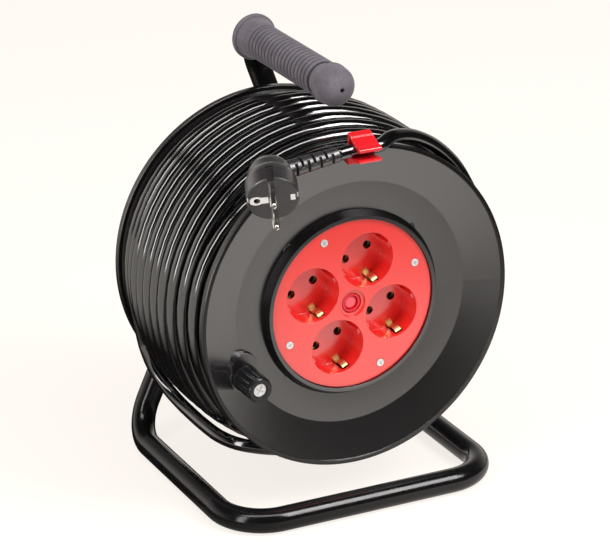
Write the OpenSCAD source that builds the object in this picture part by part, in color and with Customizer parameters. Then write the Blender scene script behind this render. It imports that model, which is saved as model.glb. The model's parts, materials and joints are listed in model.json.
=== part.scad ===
// Extension cord reel with four outlets, standing on a bent-tube frame.
// +Z is up, the drum turns about Y and its outlets face -Y.
// The origin lies on the floor, under the middle of the frame and drum.

/* [Frame] */
// Outer diameter of the bent steel tube
tube_d = 17.6; // [14:0.2:20]
// Wall of the steel tube
tube_wall = 1.2; // [0.8:0.1:2]
// Height of the drum's axis above the floor
axis_height = 148.4; // [144:0.2:170]
// Width of the base, between the axes of its side rails
base_width = 203; // [190:1:240]
// Distance from the front rail's axis forward of the drum's rim
rail_ahead = 18.8; // [14:0.2:30]
// Distance from the drum's back to the axes of the base's rear corners
base_behind = 11; // [9.5:0.5:30]
// Bend radius of the two front corners
front_bend_r = 34; // [24:1:45]
// Bend radius of the rear corners and of the handle's corner
rear_bend_r = 28; // [20:1:32]
// Height of the handle above the drum's axis
handle_rise = 151; // [148:0.5:170]
// Distance from the drum's back to the handle's corner
handle_behind = 27; // [25:0.5:45]
// Height above the drum's axis at which the left leg is welded to the right one
weld_rise = 104; // [95:1:115]

/* [Hub] */
// Thickness of the hub plate
plate_t = 3; // [2:0.5:5]
// Height of the hub plate
plate_h = 36; // [30:1:50]
// Gap between the drum's rear hub and the hub plate
hub_gap = 2; // [1.5:0.5:3]
// Diameter of the axle bolt
axle_d = 12; // [10:0.5:14]
// Radial running clearance of the axle in its bushing
axle_play = 0.05; // [0.02:0.01:0.1]
// Outer diameter of the bushing
bush_d = 18; // [17:0.5:22]
// Length of the bushing
bush_len = 50; // [40:1:60]

/* [Grip] */
// Diameter of the ribbed grip
grip_d = 26.6; // [24:0.2:28]
// Diameter of the grip's rear collar
collar_d = 34; // [30:0.5:38]
// Distance from the rim's plane back to the grip's front end
grip_front = 22; // [18:0.5:30]
// Distance from the handle's corner forward to the grip's rear end
grip_stop = 11; // [8:0.5:20]
// Number of grooves round the grip
grip_grooves = 18; // [8:1:24]
// Depth of a groove
groove_depth = 0.9; // [0.4:0.1:1.5]

/* [Drum] */
// Diameter of both rims
rim_d = 237; // [230:0.5:245]
// Width of the drum over its rims
drum_w = 149; // [146:0.5:170]
// Diameter of the barrel that carries the cord
barrel_d = 144; // [143:0.5:150]
// Wall of the drum's two mouldings
wall = 3; // [2:0.25:4]
// Depth of the dished flange face
dish_depth = 9; // [6:0.5:12]
// Diameter at which the dish meets the flat zone
flat_d = 178; // [165:1:190]
// Extra depth of the flat zone at the boss
flat_drop = 2.5; // [1:0.5:4]
// Width of the raised lip round each rim
lip_w = 3.3; // [2:0.1:5]
// Height of the raised lip
lip_h = 1; // [0.5:0.1:2]
// Thickness of a rim at its edge
rim_t = 5; // [4:0.25:7]
// Depth of the boss ring's front face behind the rim's plane
boss_depth = 5.2; // [3:0.1:7]
// Outer diameter of the boss ring at its front face
boss_d = 130.4; // [128:0.2:134]
// How much the boss ring widens towards its foot
boss_draft = 2.9; // [1:0.1:4]
// Number of screws that join the two mouldings
drum_screw_n = 4; // [3:1:6]
// Diameter of the drum screws
drum_screw_d = 4; // [3:0.25:5]

/* [Outlet panel] */
// Diameter of the outlet panel
panel_d = 124; // [122:0.2:128]
// Thickness of the panel
panel_t = 3; // [2:0.25:4]
// Step from the boss ring's face down to the panel's face
panel_step = 1.8; // [1:0.1:3]
// Clearance round the panel
panel_gap = 0.3; // [0.1:0.05:0.6]
// Turn of the outlets' pin line from the horizontal
panel_turn = 24.3; // [0:0.1:90]
// Distance between neighbouring outlets
outlet_pitch = 46.3; // [45:0.1:48]
// Diameter of an outlet's recess
recess_d = 40.1; // [39.5:0.1:42]
// Depth of an outlet's recess
recess_depth = 17.5; // [16:0.1:19]
// Wall round a recess
cup_wall = 2; // [1.5:0.1:2.4]
// Distance between the two pins of a plug
pin_pitch = 19; // [18:0.5:20]
// Diameter of a pin hole in the recess floor
pin_hole_d = 6.2; // [5.4:0.1:6.5]
// Radius of the circle of panel screws
panel_screw_r = 53.6; // [52:0.1:55]
// Diameter of the panel screws
panel_screw_d = 3; // [2.5:0.5:4]
// Diameter of a panel screw's head
panel_head_d = 5.5; // [5:0.1:7]

/* [Contacts and cut-out] */
// Length of a contact sleeve behind the recess
sleeve_len = 16; // [12:0.5:20]
// Wall of a contact sleeve
sleeve_wall = 0.9; // [0.6:0.1:1.5]
// Clearance of a plug pin in its sleeve
sleeve_play = 0.05; // [0.02:0.01:0.1]
// Thickness of the brass bars
bar_t = 1.2; // [0.8:0.1:2]
// Width of the brass bars
bar_w = 7; // [5:0.5:9]
// Diameter of the reset button
button_d = 9.7; // [8:0.1:11]
// Travel of the reset button
button_travel = 2.5; // [1.5:0.1:4]
// Depth of the button's face behind the panel's face
button_depth = 3; // [2.8:0.1:5]

/* [Crank] */
// Distance of the crank knob's axis in from the rim
knob_inset = 25.7; // [22:0.1:28]
// Direction of the crank knob, turned up from +X
knob_angle = 204.6; // [0:0.1:360]
// Diameter of the ribbed knob
knob_d = 19.5; // [17:0.5:22]
// Diameter of the knob's smooth end ring
knob_end_d = 17.6; // [15:0.2:20]
// Length of the knob
knob_len = 24.4; // [20:0.2:30]
// Diameter of the spindle on which the knob turns
spindle_d = 8; // [6:0.5:9]
// Number of ribs round the knob
knob_ribs = 12; // [8:1:18]

/* [Cord] */
// Diameter of the cord
cord_d = 9.5; // [8:0.1:10]
// Number of turns in the outer layer
cord_turns = 9; // [8:1:10]

/* [Clip] */
// Length of the clip along the cord
clip_len = 17; // [12:0.5:22]
// Thickness of the clip's wall
clip_t = 1.8; // [1.4:0.1:2.4]

/* [Plug] */
// Diameter of the plug's face
plug_d = 36; // [35:0.5:38]
// Depth of the plug's body
plug_depth = 33; // [30:0.5:38]
// Diameter of a plug pin
plug_pin_d = 4.8; // [4:0.1:5]
// Length of a plug pin
plug_pin_len = 19; // [18:0.5:20]

/* [Hidden] */
$fn = 96;

tube_r = tube_d / 2;
rail_z = tube_r - axis_height;
rim_r = rim_d / 2;
base_back = drum_w + base_behind;
handle_back = drum_w + handle_behind;
grip_rear = handle_back - grip_stop;
knob_r = rim_r - knob_inset;
barrel_r = barrel_d / 2;
fit_gap = 0.1;

// Corners of the tube's axis, seen from the drum's axis in the rim's plane.
handle_corner = [0, handle_back, handle_rise];
right_corner = [base_width / 2, base_back, rail_z];
left_corner = [-base_width / 2, base_back, rail_z];
front_right = [base_width / 2, -rail_ahead, rail_z];
front_left = [-base_width / 2, -rail_ahead, rail_z];

function unit(v) = v / norm(v);
function turn_between(a, b) = acos(unit(a) * unit(b));
function on_line(a, b, z) = a + (b - a) * (z - a[2]) / (b[2] - a[2]);

weld_point = on_line(handle_corner, right_corner, weld_rise);
handle_turn = turn_between([0, 1, 0], right_corner - handle_corner);
rear_reach = handle_back - rear_bend_r * tan(handle_turn / 2) + rear_bend_r + tube_r;
front_reach = rail_ahead + tube_r;
// The drum's rim plane lies this far in front of the origin.
rim_plane_y = (front_reach - rear_reach) / 2;

module on_axis() {
  translate([0, rim_plane_y, axis_height])
    children();
}

// Turns a shape about Z into one about Y, starting at a depth behind the rim.
module along_y(depth) {
  translate([0, depth, 0])
    rotate([-90, 0, 0])
      children();
}

module rod(d, from, to) {
  along_y(from)
    cylinder(d = d, h = to - from);
}

module at_polar(r, angle) {
  translate([r * cos(angle), 0, r * sin(angle)])
    children();
}

// Revolves an outline of [radius, depth] points about the drum's axis.
module turned(outline) {
  rotate([-90, 0, 0])
    rotate_extrude($fn = 180)
      polygon(outline);
}

// ---------------------------------------------------------------- frame

// Axes of a frame with z along a direction and x along a second one.
module oriented(place, x_axis, z_axis) {
  x = unit(x_axis);
  z = unit(z_axis);
  y = cross(z, x);
  multmatrix([
    [x[0], y[0], z[0], place[0]],
    [x[1], y[1], z[1], place[1]],
    [x[2], y[2], z[2], place[2]],
    [0, 0, 0, 1]
  ])
    children();
}

function any_normal(v) = abs(v[2]) < 0.9 * norm(v) ? cross(v, [0, 0, 1]) : cross(v, [1, 0, 0]);
function bend_run(before, corner, after, r) = r * tan(turn_between(corner - before, after - corner) / 2);

module straight(a, b, d) {
  oriented(a, any_normal(b - a), b - a)
    cylinder(d = d, h = norm(b - a));
}

module bend(before, corner, after, r, d) {
  way_in = unit(corner - before);
  way_out = unit(after - corner);
  inward = unit(way_out - (way_in * way_out) * way_in);
  start = corner - way_in * bend_run(before, corner, after, r);
  oriented(start + inward * r, -inward, cross(-inward, way_in))
    rotate_extrude(angle = turn_between(way_in, way_out))
      translate([r, 0])
        circle(d = d);
}

// A drawn bend comes out slightly thinner than the straight bar.
bend_thinning = 0.04;

// A round bar along corners, with a bend radius at each inner corner.
module bent_bar(corners, radii, d) {
  last = len(corners) - 1;
  for (i = [0 : last - 1]) {
    way = unit(corners[i + 1] - corners[i]);
    from_trim = i == 0 ? 0 : bend_run(corners[i - 1], corners[i], corners[i + 1], radii[i]);
    to_trim = i == last - 1 ? 0 : bend_run(corners[i], corners[i + 1], corners[i + 2], radii[i + 1]);
    straight(corners[i] + way * from_trim, corners[i + 1] - way * to_trim, d);
  }
  for (i = [1 : last - 1])
    bend(corners[i - 1], corners[i], corners[i + 1], radii[i], d - bend_thinning);
}

grip_bore_end = grip_front + 8;
tube_start = [0, grip_bore_end, handle_rise];
leg_way = unit(weld_point - left_corner);
tube_radii = [0, rear_bend_r, rear_bend_r, front_bend_r, front_bend_r, rear_bend_r, 0];

function tube_corners(start, end) = [
  start, handle_corner, right_corner, front_right, front_left, left_corner, end
];

module frame_tube() {
  color([0.07, 0.07, 0.08])
    on_axis()
      difference() {
        bent_bar(tube_corners(tube_start, weld_point), tube_radii, tube_d);
        bent_bar(
          tube_corners(tube_start - [0, 1, 0], weld_point - leg_way * (tube_d + tube_wall)),
          tube_radii, tube_d - 2 * tube_wall);
      }
}

// ---------------------------------------------------------------- hub

hub_back = drum_w + 4;
plate_front = hub_back + hub_gap;
left_at_axis = on_line(left_corner, weld_point, 0);
right_at_axis = on_line(right_corner, handle_corner, 0);
plate_overhang = 14;
saddle_w = 22;
saddle_depth = max(left_at_axis[1], right_at_axis[1]) - plate_front - plate_t;

module hub_plate() {
  left_end = left_at_axis[0] - plate_overhang;
  right_end = right_at_axis[0] + plate_overhang;
  color([0.07, 0.07, 0.08])
    on_axis()
      difference() {
        union() {
          translate([left_end, plate_front, -plate_h / 2])
            cube([right_end - left_end, plate_t, plate_h]);
          for (x = [left_at_axis[0], right_at_axis[0]])
            translate([x - saddle_w / 2, plate_front, -plate_h / 2])
              cube([saddle_w, plate_t + saddle_depth, plate_h]);
        }
        straight(left_corner, weld_point, tube_d);
        straight(right_corner, handle_corner, tube_d);
        rod(axle_d + 2 * fit_gap, plate_front - 1, plate_front + plate_t + 1);
        rod(3 * axle_d, plate_front + plate_t, plate_front + plate_t + 1.5 * axle_d);
      }
}

bush_front = hub_back - bush_len;
washer_t = hub_gap - 0.5;
washer_d = 2.2 * axle_d;
front_washer = bush_front - 0.3 - washer_t;
nut_h = 0.8 * axle_d;
hex_d = 2 * axle_d;
head_h = 0.6 * axle_d;

module axle_bolt() {
  color([0.75, 0.76, 0.78])
    on_axis() {
      rod(axle_d, front_washer - nut_h - 3, plate_front + plate_t);
      along_y(plate_front + plate_t)
        cylinder(d = hex_d, h = head_h, $fn = 6);
    }
}

module axle_washers() {
  color([0.8, 0.8, 0.78])
    on_axis()
      for (depth = [front_washer, plate_front - washer_t])
        difference() {
          rod(washer_d, depth, depth + washer_t);
          rod(axle_d + 2 * fit_gap, depth - 1, depth + washer_t + 1);
        }
}

module axle_nut() {
  color([0.75, 0.76, 0.78])
    on_axis()
      difference() {
        along_y(front_washer - nut_h)
          cylinder(d = hex_d, h = nut_h, $fn = 6);
        rod(axle_d, front_washer - nut_h - 1, front_washer + 1);
      }
}

module hub_bushing() {
  color([0.85, 0.83, 0.76])
    on_axis()
      difference() {
        rod(bush_d, bush_front, hub_back);
        rod(axle_d + 2 * axle_play, bush_front - 1, hub_back + 1);
      }
}

// ---------------------------------------------------------------- grip

grip_r = grip_d / 2;
dome_r = grip_r + 1;
dome_len = 13;
neck_len = 20;
flare_len = 14;
collar_t = 11;
groove_start = grip_front + dome_len + neck_len;
groove_end = grip_rear - collar_t - flare_len;
groove_pitch = (groove_end - groove_start) / grip_grooves;

// Quarter round from the axis to a radius, as [radius, depth] points.
function dome_points(r, len, front) = [
  for (a = [0 : 7.5 : 90]) [r * sin(a), front + len * (1 - cos(a))]
];

function groove_points(i) = let (y = groove_start + i * groove_pitch) [
  [grip_r - 0.4, y],
  [grip_r, y + 0.2 * groove_pitch],
  [grip_r, y + 0.5 * groove_pitch],
  [grip_r - 0.4, y + 0.7 * groove_pitch],
  [grip_r - groove_depth, y + 0.75 * groove_pitch],
  [grip_r - groove_depth, y + 0.95 * groove_pitch]
];

grip_outline = concat(
  dome_points(dome_r, dome_len, grip_front),
  [[dome_r, grip_front + dome_len + 4]],
  [for (i = [0 : grip_grooves - 1]) each groove_points(i)],
  [
    [grip_r, groove_end],
    [grip_r + 0.6, groove_end + 0.5 * flare_len],
    [grip_r + 1.8, groove_end + 0.85 * flare_len],
    [collar_d / 2 - 0.6, groove_end + flare_len],
    [collar_d / 2, groove_end + flare_len + 1.2],
    [collar_d / 2, grip_rear - 2.5],
    [collar_d / 2 - 2.5, grip_rear],
    [0, grip_rear]
  ]
);
vent_d = 2.4;

module handle_grip() {
  color([0.36, 0.34, 0.38])
    on_axis()
      difference() {
        translate([0, 0, handle_rise])
          turned(grip_outline);
        bent_bar([tube_start - [0, fit_gap, 0], handle_corner, right_corner], [0, rear_bend_r, 0], tube_d + 2 * fit_gap);
        translate([0, 0, handle_rise])
          rod(vent_d, grip_front - 1, grip_bore_end);
      }
}

// ---------------------------------------------------------------- drum

flat_r = flat_d / 2;
boss_r = boss_d / 2;
boss_foot_r = boss_r + boss_draft;
boss_foot = dish_depth + flat_drop;
panel_seat_r = panel_d / 2 + panel_gap;
panel_front = boss_depth + panel_step;
panel_back = panel_front + panel_t;
barrel_in = barrel_r - wall;
seam = drum_w / 2;
rabbet = 2;
ledge_w = 5.5;

// Front of the flange from the rim in to the boss, as [radius, depth] points.
dish_face = [
  [boss_foot_r, boss_foot],
  [flat_r, dish_depth],
  [rim_r - lip_w, lip_h],
  [rim_r - lip_w, 0],
  [rim_r - 0.8, 0],
  [rim_r, 0.8],
  [rim_r, rim_t - 0.6],
  [rim_r - 0.6, rim_t],
  [rim_r - lip_w, rim_t],
  [flat_r + 1, dish_depth + wall]
];

front_outline = concat(
  [[panel_seat_r, boss_depth], [boss_r, boss_depth]],
  dish_face,
  [
    [barrel_r, boss_foot + wall],
    [barrel_r, seam + rabbet],
    [barrel_r - wall / 2 + fit_gap / 2, seam + rabbet],
    [barrel_r - wall / 2 + fit_gap / 2, seam],
    [barrel_in, seam],
    [barrel_in, panel_back + wall],
    [panel_seat_r - ledge_w, panel_back + wall],
    [panel_seat_r - ledge_w, panel_back],
    [panel_seat_r, panel_back]
  ]
);

function mirrored(points) = [for (p = points) [p[0], drum_w - p[1]]];
rear_wall_back = drum_w - boss_foot;

rear_outline = concat(
  [[bush_d / 2 + 4.5, rear_wall_back]],
  mirrored(dish_face),
  [
    [barrel_r, rear_wall_back - wall],
    [barrel_r, seam + rabbet],
    [barrel_r - wall / 2 - fit_gap / 2, seam + rabbet],
    [barrel_r - wall / 2 - fit_gap / 2, seam],
    [barrel_in, seam],
    [barrel_in, rear_wall_back - wall],
    [bush_d / 2 + 3.5, rear_wall_back - wall],
    [bush_d / 2 + 3.5, bush_front + 1],
    [bush_d / 2, bush_front + 1],
    [bush_d / 2, hub_back],
    [bush_d / 2 + 4.5, hub_back]
  ]
);

post_r = drum_screw_d / 2 + 2.5;
post_circle = barrel_in - post_r + 1;
screw_start = seam - 20;
knob_foot = 4.6;
knob_gap = 0.3;
boss_round = 11;
boss_oval = 8;
clip_x = 0.5;
clip_peg_z = rim_r - 8.5;
clip_peg_w = 8;
clip_peg_t = 3;
lead_depth = 66;
lead_bend = 38;
cord_gap = 0.3;
lead_ring = barrel_r + cord_d / 2 + cord_gap;
lead_end = 8;

// The cord's way through the barrel: in from the side, then round towards the axis.
module lead_bar(d) {
  bent_bar(
    [[-lead_bend, lead_depth, -lead_end], [-lead_bend, lead_depth, -lead_ring], [0.5, lead_depth, -lead_ring]],
    [0, lead_bend, 0], d);
}

module posts(from, to) {
  for (i = [0 : drum_screw_n - 1])
    at_polar(post_circle, 45 + i * 360 / drum_screw_n)
      rod(2 * post_r, from, to);
}

module screw_holes(d, from, to) {
  for (i = [0 : drum_screw_n - 1])
    at_polar(post_circle, 45 + i * 360 / drum_screw_n)
      rod(d, from, to);
}

lug_len = 14;

// Lugs behind the ledge that take the panel screws.
module panel_lugs() {
  rotate([0, -panel_turn, 0])
    for (a = [0 : 90 : 270])
      rotate([0, -a, 0]) {
        translate([panel_screw_r, 0, 0])
          rod(8, panel_back + 0.2, panel_back + lug_len);
        translate([panel_screw_r, boss_foot + 0.5, -3])
          cube([barrel_in + 1 - panel_screw_r, panel_back + lug_len - boss_foot - 0.5, 6]);
      }
}

// Oval pad under the crank knob, cut off inside the flange's wall.
module knob_boss() {
  difference() {
    at_polar(knob_r, knob_angle) {
      rod(2 * boss_round, knob_foot, boss_foot);
      translate([0, 0, boss_oval])
        rod(2 * boss_round - 2, knob_foot, boss_foot);
      translate([1 - boss_round, knob_foot, 0])
        cube([2 * boss_round - 2, boss_foot - knob_foot, boss_oval]);
    }
    turned([
      [boss_foot_r, boss_foot + wall - 1], [flat_r + 1, dish_depth + wall - 1],
      [rim_r - lip_w, rim_t - 1], [rim_r - lip_w, 3 * dish_depth], [boss_foot_r, 3 * dish_depth]
    ]);
  }
}

thread_d = spindle_d - 3;
thread_end = dish_depth + 0.6;

module drum_front() {
  color([0.16, 0.16, 0.17])
    on_axis()
      difference() {
        union() {
          turned(front_outline);
          posts(panel_back + 1, seam);
          panel_lugs();
          knob_boss();
        }
        screw_holes(drum_screw_d + 2 * fit_gap, screw_start - 2, seam + 1);
        rotate([0, -panel_turn, 0])
          for (a = [0 : 90 : 270])
            rotate([0, -a, 0])
              translate([panel_screw_r, 0, 0])
                rod(panel_screw_d + 2 * fit_gap, panel_back - 1, panel_back + panel_screw_reach + 1);
        at_polar(knob_r, knob_angle)
          rod(thread_d + 2 * fit_gap, knob_foot - 1, thread_end);
        translate([clip_x - clip_peg_w / 2 - 0.3, 0, clip_peg_z - clip_peg_t / 2 - 0.3])
          cube([clip_peg_w + 0.6, 12, clip_peg_t + 0.6]);
        rotate([0, -panel_turn, 0])
          lead_bar(cord_d + 0.5);
      }
}

module drum_rear() {
  color([0.16, 0.16, 0.17])
    on_axis()
      difference() {
        union() {
          turned(rear_outline);
          posts(seam, rear_wall_back - 1);
          for (a = [0 : 60 : 300])
            rotate([0, -a, 0])
              translate([bush_d / 2 + 2, rear_wall_back - wall - 8, -1])
                cube([barrel_in - bush_d / 2 - 1, 8.5, 2]);
        }
        screw_holes(drum_screw_d + 2 * fit_gap, seam - 1, drum_w);
      }
}

module drum_screws() {
  color([0.78, 0.79, 0.8])
    on_axis()
      for (i = [0 : drum_screw_n - 1])
        at_polar(post_circle, 45 + i * 360 / drum_screw_n)
          difference() {
            union() {
              rod(drum_screw_d, screw_start, rear_wall_back);
              rod(1.9 * drum_screw_d, rear_wall_back, rear_wall_back + 2.4);
            }
            translate([-0.5, rear_wall_back + 1.2, -2.5])
              cube([1, 2, 5]);
            translate([-2.5, rear_wall_back + 1.2, -0.5])
              cube([5, 2, 1]);
          }
}

// ---------------------------------------------------------------- outlets

half_pitch = outlet_pitch / 2;
outlet_places = [
  [half_pitch, half_pitch], [-half_pitch, half_pitch],
  [-half_pitch, -half_pitch], [half_pitch, -half_pitch]
];
recess_floor = panel_front + recess_depth;
cup_back = recess_floor + wall;
cup_r = recess_d / 2 + cup_wall;
rib_w = 4;
rib_h = 1.8;
slot_w = 6;
well_d = 20;
neck_d = button_d + 4;

module on_panel() {
  on_axis()
    rotate([0, -panel_turn, 0])
      children();
}

module at_outlet(i) {
  translate([outlet_places[i][0], 0, outlet_places[i][1]])
    children();
}

module outlet_recess() {
  difference() {
    rod(recess_d, panel_front - 1, recess_floor);
    for (side = [-1, 1])
      translate([side * recess_d / 2, 0, 0])
        translate([-rib_h, panel_front + 2, -rib_w / 2])
          cube([2 * rib_h, recess_depth, rib_w]);
  }
  for (side = [-1, 1]) {
    translate([side * pin_pitch / 2, 0, 0])
      rod(pin_hole_d, recess_floor - 1, cup_back + 1);
    translate([-slot_w / 2, panel_front + 3, side * (recess_d / 2 + cup_wall / 2) - cup_wall])
      cube([slot_w, cup_back, 2 * cup_wall]);
  }
}

module outlet_panel() {
  color([0.93, 0.23, 0.2])
    on_panel()
      difference() {
        union() {
          rod(panel_d, panel_front, panel_back);
          for (i = [0 : 3])
            at_outlet(i)
              rod(2 * cup_r, panel_front + 1, cup_back);
          rod(well_d + 2, panel_front + 1, panel_front + button_depth + 3.5);
          for (side = [-1, 1])
            translate([side * cover_screw_at, 0, 0])
              rod(8, panel_front + 1, cover_front);
        }
        for (i = [0 : 3])
          at_outlet(i)
            outlet_recess();
        rod(well_d, panel_front - 1, panel_front + 1.5);
        rod(well_d - 5, panel_front - 1, panel_front + button_depth + 1);
        rod(neck_d + 2 * fit_gap, panel_front - 1, panel_back + 8);
        for (a = [0 : 90 : 270])
          rotate([0, -a, 0])
            translate([panel_screw_r, 0, 0]) {
              rod(panel_screw_d + 2 * fit_gap, panel_front - 1, panel_back + 1);
              rod(panel_head_d + 4 * fit_gap, panel_front - 1, panel_front + 1.2);
            }
        for (side = [-1, 1])
          translate([side * cover_screw_at, 0, 0])
            rod(cover_screw_d + 2 * fit_gap, cover_front - cover_screw_len - 2, cover_front + 1);
      }
}

module cross_screw(d, head_d, head_h, from, to) {
  difference() {
    union() {
      rod(d, from, to);
      rod(head_d, from - head_h, from);
    }
    for (turn = [0, 90])
      rotate([0, turn, 0])
        translate([-0.35, from - head_h - 1, -0.32 * head_d])
          cube([0.7, 1 + 0.55 * head_h, 0.64 * head_d]);
  }
}

panel_head_h = 1.6;
panel_head_proud = 1.2;
panel_screw_reach = 10;

module panel_screws() {
  color([0.85, 0.86, 0.87])
    on_panel()
      for (a = [0 : 90 : 270])
        rotate([0, -a, 0])
          translate([panel_screw_r, 0, 0])
            cross_screw(panel_screw_d, panel_head_d, panel_head_h, panel_front + panel_head_proud,
                        panel_back + panel_screw_reach);
}

// ---------------------------------------------------------------- contacts

sleeve_bore = plug_pin_d + 2 * sleeve_play;
sleeve_d = sleeve_bore + 2 * sleeve_wall;
sleeve_front = cup_back + 0.2;
live_bar_y = sleeve_front + sleeve_len;
neutral_bar_y = live_bar_y + bar_t + 4;
bar_end = half_pitch + sleeve_d / 2;
cross_v = half_pitch - sleeve_d / 2 - bar_w / 2 - 4;

// Sleeves of one pole, joined by a strip along each column and one across.
module busbar(side, strip_y) {
  columns = [half_pitch + side * pin_pitch / 2, -half_pitch + side * pin_pitch / 2];
  difference() {
    union() {
      for (i = [0 : 3])
        at_outlet(i)
          translate([side * pin_pitch / 2, 0, 0])
            rod(sleeve_d, sleeve_front, strip_y + bar_t);
      for (u = columns)
        translate([u - bar_w / 2, strip_y, -bar_end])
          cube([bar_w, bar_t, 2 * bar_end]);
      translate([columns[1], strip_y, side * cross_v - bar_w / 2])
        cube([columns[0] - columns[1], bar_t, bar_w]);
    }
    for (i = [0 : 3])
      at_outlet(i)
        translate([side * pin_pitch / 2, 0, 0])
          rod(sleeve_bore, sleeve_front - 1, strip_y + bar_t + 1);
  }
}

module live_busbar() {
  color([0.83, 0.68, 0.35])
    on_panel()
      busbar(1, live_bar_y);
}

module neutral_busbar() {
  color([0.83, 0.68, 0.35])
    on_panel()
      busbar(-1, neutral_bar_y);
}

spring_t = 0.9;
spring_w = 4.6;
spring_reach = 2.6;
spring_r = cup_r + 0.3;
spring_back = cup_back + 0.3;
spring_front = panel_front + 3.6;

// Spring bridge behind one recess, bowed inwards through each slot.
module earth_clip(i) {
  color([0.88, 0.74, 0.42])
    on_panel()
      at_outlet(i) {
        translate([-spring_w / 2, spring_back, -spring_r])
          cube([spring_w, spring_t, 2 * spring_r]);
        for (side = [-1, 1])
          mirror([0, 0, side < 0 ? 1 : 0]) {
            translate([-spring_w / 2, recess_floor - 4, spring_r - spring_t])
              cube([spring_w, spring_back + spring_t - recess_floor + 4, spring_t]);
            translate([-spring_w / 2, 0, spring_r])
              rotate([90, 0, 90])
                linear_extrude(spring_w)
                  polygon([
                    [spring_front, -spring_reach * 0.5],
                    [spring_front + 3.5, -spring_t - spring_reach],
                    [spring_front + 8, -spring_t - spring_reach],
                    [recess_floor - 3.5, -spring_t],
                    [recess_floor - 3.5, 0],
                    [spring_front + 8, -spring_reach],
                    [spring_front + 3.5, -spring_reach],
                    [spring_front, -spring_reach * 0.5 + spring_t]
                  ]);
          }
      }
}

module earth_clip_1() {
  earth_clip(0);
}

module earth_clip_2() {
  earth_clip(1);
}

module earth_clip_3() {
  earth_clip(2);
}

module earth_clip_4() {
  earth_clip(3);
}

earth_bar_y = spring_back + spring_t;
earth_cross_v = half_pitch - sleeve_d / 2 - 3;

module earth_bar() {
  color([0.83, 0.68, 0.35])
    on_panel() {
      for (side = [-1, 1])
        translate([side * half_pitch - 2.5, earth_bar_y, -half_pitch - 8])
          cube([5, bar_t, 2 * half_pitch + 16]);
      for (side = [-1, 1])
        translate([-half_pitch, earth_bar_y, side * earth_cross_v - 2])
          cube([2 * half_pitch, bar_t, 4]);
    }
}

cover_front = neutral_bar_y + bar_t + 3;
cover_t = 2;
cover_r = cup_r + half_pitch * sqrt(2) + 0.9;
cover_screw_d = 3;
cover_screw_at = cup_r + half_pitch - 3;
cover_screw_len = 10;
wire_hole_d = 5;
live_hole = [-lead_bend - 3, 10];
neutral_hole = [-lead_bend + 3, 8];
earth_hole = [-half_pitch - 0.5, -4];

// Shallow dish that shuts the contacts off from the drum's inside.
module contact_cover() {
  color([0.12, 0.12, 0.13])
    on_panel()
      difference() {
        turned([
          [0, cover_front], [cover_r - cover_t, cover_front], [cover_r - cover_t, spring_back],
          [cover_r, spring_back], [cover_r, cover_front + cover_t], [0, cover_front + cover_t]
        ]);
        for (place = [live_hole, neutral_hole, earth_hole])
          translate([place[0], 0, place[1]])
            rod(wire_hole_d, cover_front - 1, cover_front + cover_t + 1);
        for (side = [-1, 1])
          translate([side * cover_screw_at, 0, 0])
            rod(cover_screw_d + 2 * fit_gap, cover_front - 1, cover_front + cover_t + 1);
        for (side = [-1, 1])
          translate([side * clamp_screw_at - lead_bend, 0, -clamp_mid])
            rod(cover_screw_d + 2 * fit_gap, cover_front - 1, cover_front + cover_t + 1);
      }
}

module round_screw(d, len, seat) {
  rod(d, seat - len, seat);
  difference() {
    rod(1.9 * d, seat, seat + 0.6 * d);
    for (turn = [0, 90])
      rotate([0, turn, 0])
        translate([-0.35, seat + 0.3 * d, -0.6 * d])
          cube([0.7, d, 1.2 * d]);
  }
}

module cover_screws() {
  color([0.78, 0.79, 0.8])
    on_panel()
      for (side = [-1, 1])
        translate([side * cover_screw_at, 0, 0])
          round_screw(cover_screw_d, cover_screw_len, cover_front + cover_t);
}

// ---------------------------------------------------------------- cut-out

cutout_front = panel_front + 2;
cutout_floor = 24;
cutout_half_w = 9;
cutout_half_h = 13.5;
button_front = panel_front + button_depth;
button_len = 8;

module thermal_cutout() {
  color([0.2, 0.2, 0.21])
    on_panel()
      difference() {
        union() {
          rod(neck_d, cutout_front, cutout_floor + 4);
          translate([-cutout_half_w, cutout_floor + 3.8, -cutout_half_h])
            cube([2 * cutout_half_w, live_bar_y - cutout_floor - 3.8, 2 * cutout_half_h]);
        }
        rod(button_d + 0.6, cutout_front - 1, cutout_floor);
      }
}

module reset_button() {
  color([0.95, 0.35, 0.33])
    on_panel()
      turned([
        [0, button_front], [button_d / 2 - 1.6, button_front], [button_d / 2 - 0.5, button_front + 0.4],
        [button_d / 2, button_front + 1.2], [button_d / 2, button_front + button_len],
        [2.5, button_front + button_len], [2.5, cutout_floor - button_travel - 0.5],
        [0, cutout_floor - button_travel - 0.5]
      ]);
}

// ---------------------------------------------------------------- lead and wiring

clamp_in = 12;
clamp_out = 24;
clamp_mid = (clamp_in + clamp_out) / 2;
clamp_base = cover_front + cover_t;
clamp_half_w = 14;
clamp_screw_at = 10.8;
wire_d = 2.2;

module cord_clamp() {
  color([0.12, 0.12, 0.13])
    on_panel()
      translate([-lead_bend, 0, 0])
        difference() {
          union() {
            translate([-clamp_half_w, clamp_base, -clamp_out])
              cube([2 * clamp_half_w, 5, clamp_out - clamp_in]);
            translate([-cord_d / 2 - 3, clamp_base, -clamp_out])
              cube([cord_d + 6, lead_depth + cord_d / 2 + 2.5 - clamp_base, clamp_out - clamp_in]);
          }
          translate([0, lead_depth, -clamp_out - 1])
            cylinder(d = cord_d, h = clamp_out - clamp_in + 2);
          for (side = [-1, 1])
            translate([side * clamp_screw_at, 0, -clamp_mid])
              rod(cover_screw_d + 2 * fit_gap, clamp_base - 1, clamp_base + 6);
        }
}

module clamp_screws() {
  color([0.78, 0.79, 0.8])
    on_panel()
      for (side = [-1, 1])
        translate([side * clamp_screw_at - lead_bend, 0, -clamp_mid])
          round_screw(cover_screw_d, 5 + cover_t + 2, clamp_base + 5);
}

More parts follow.
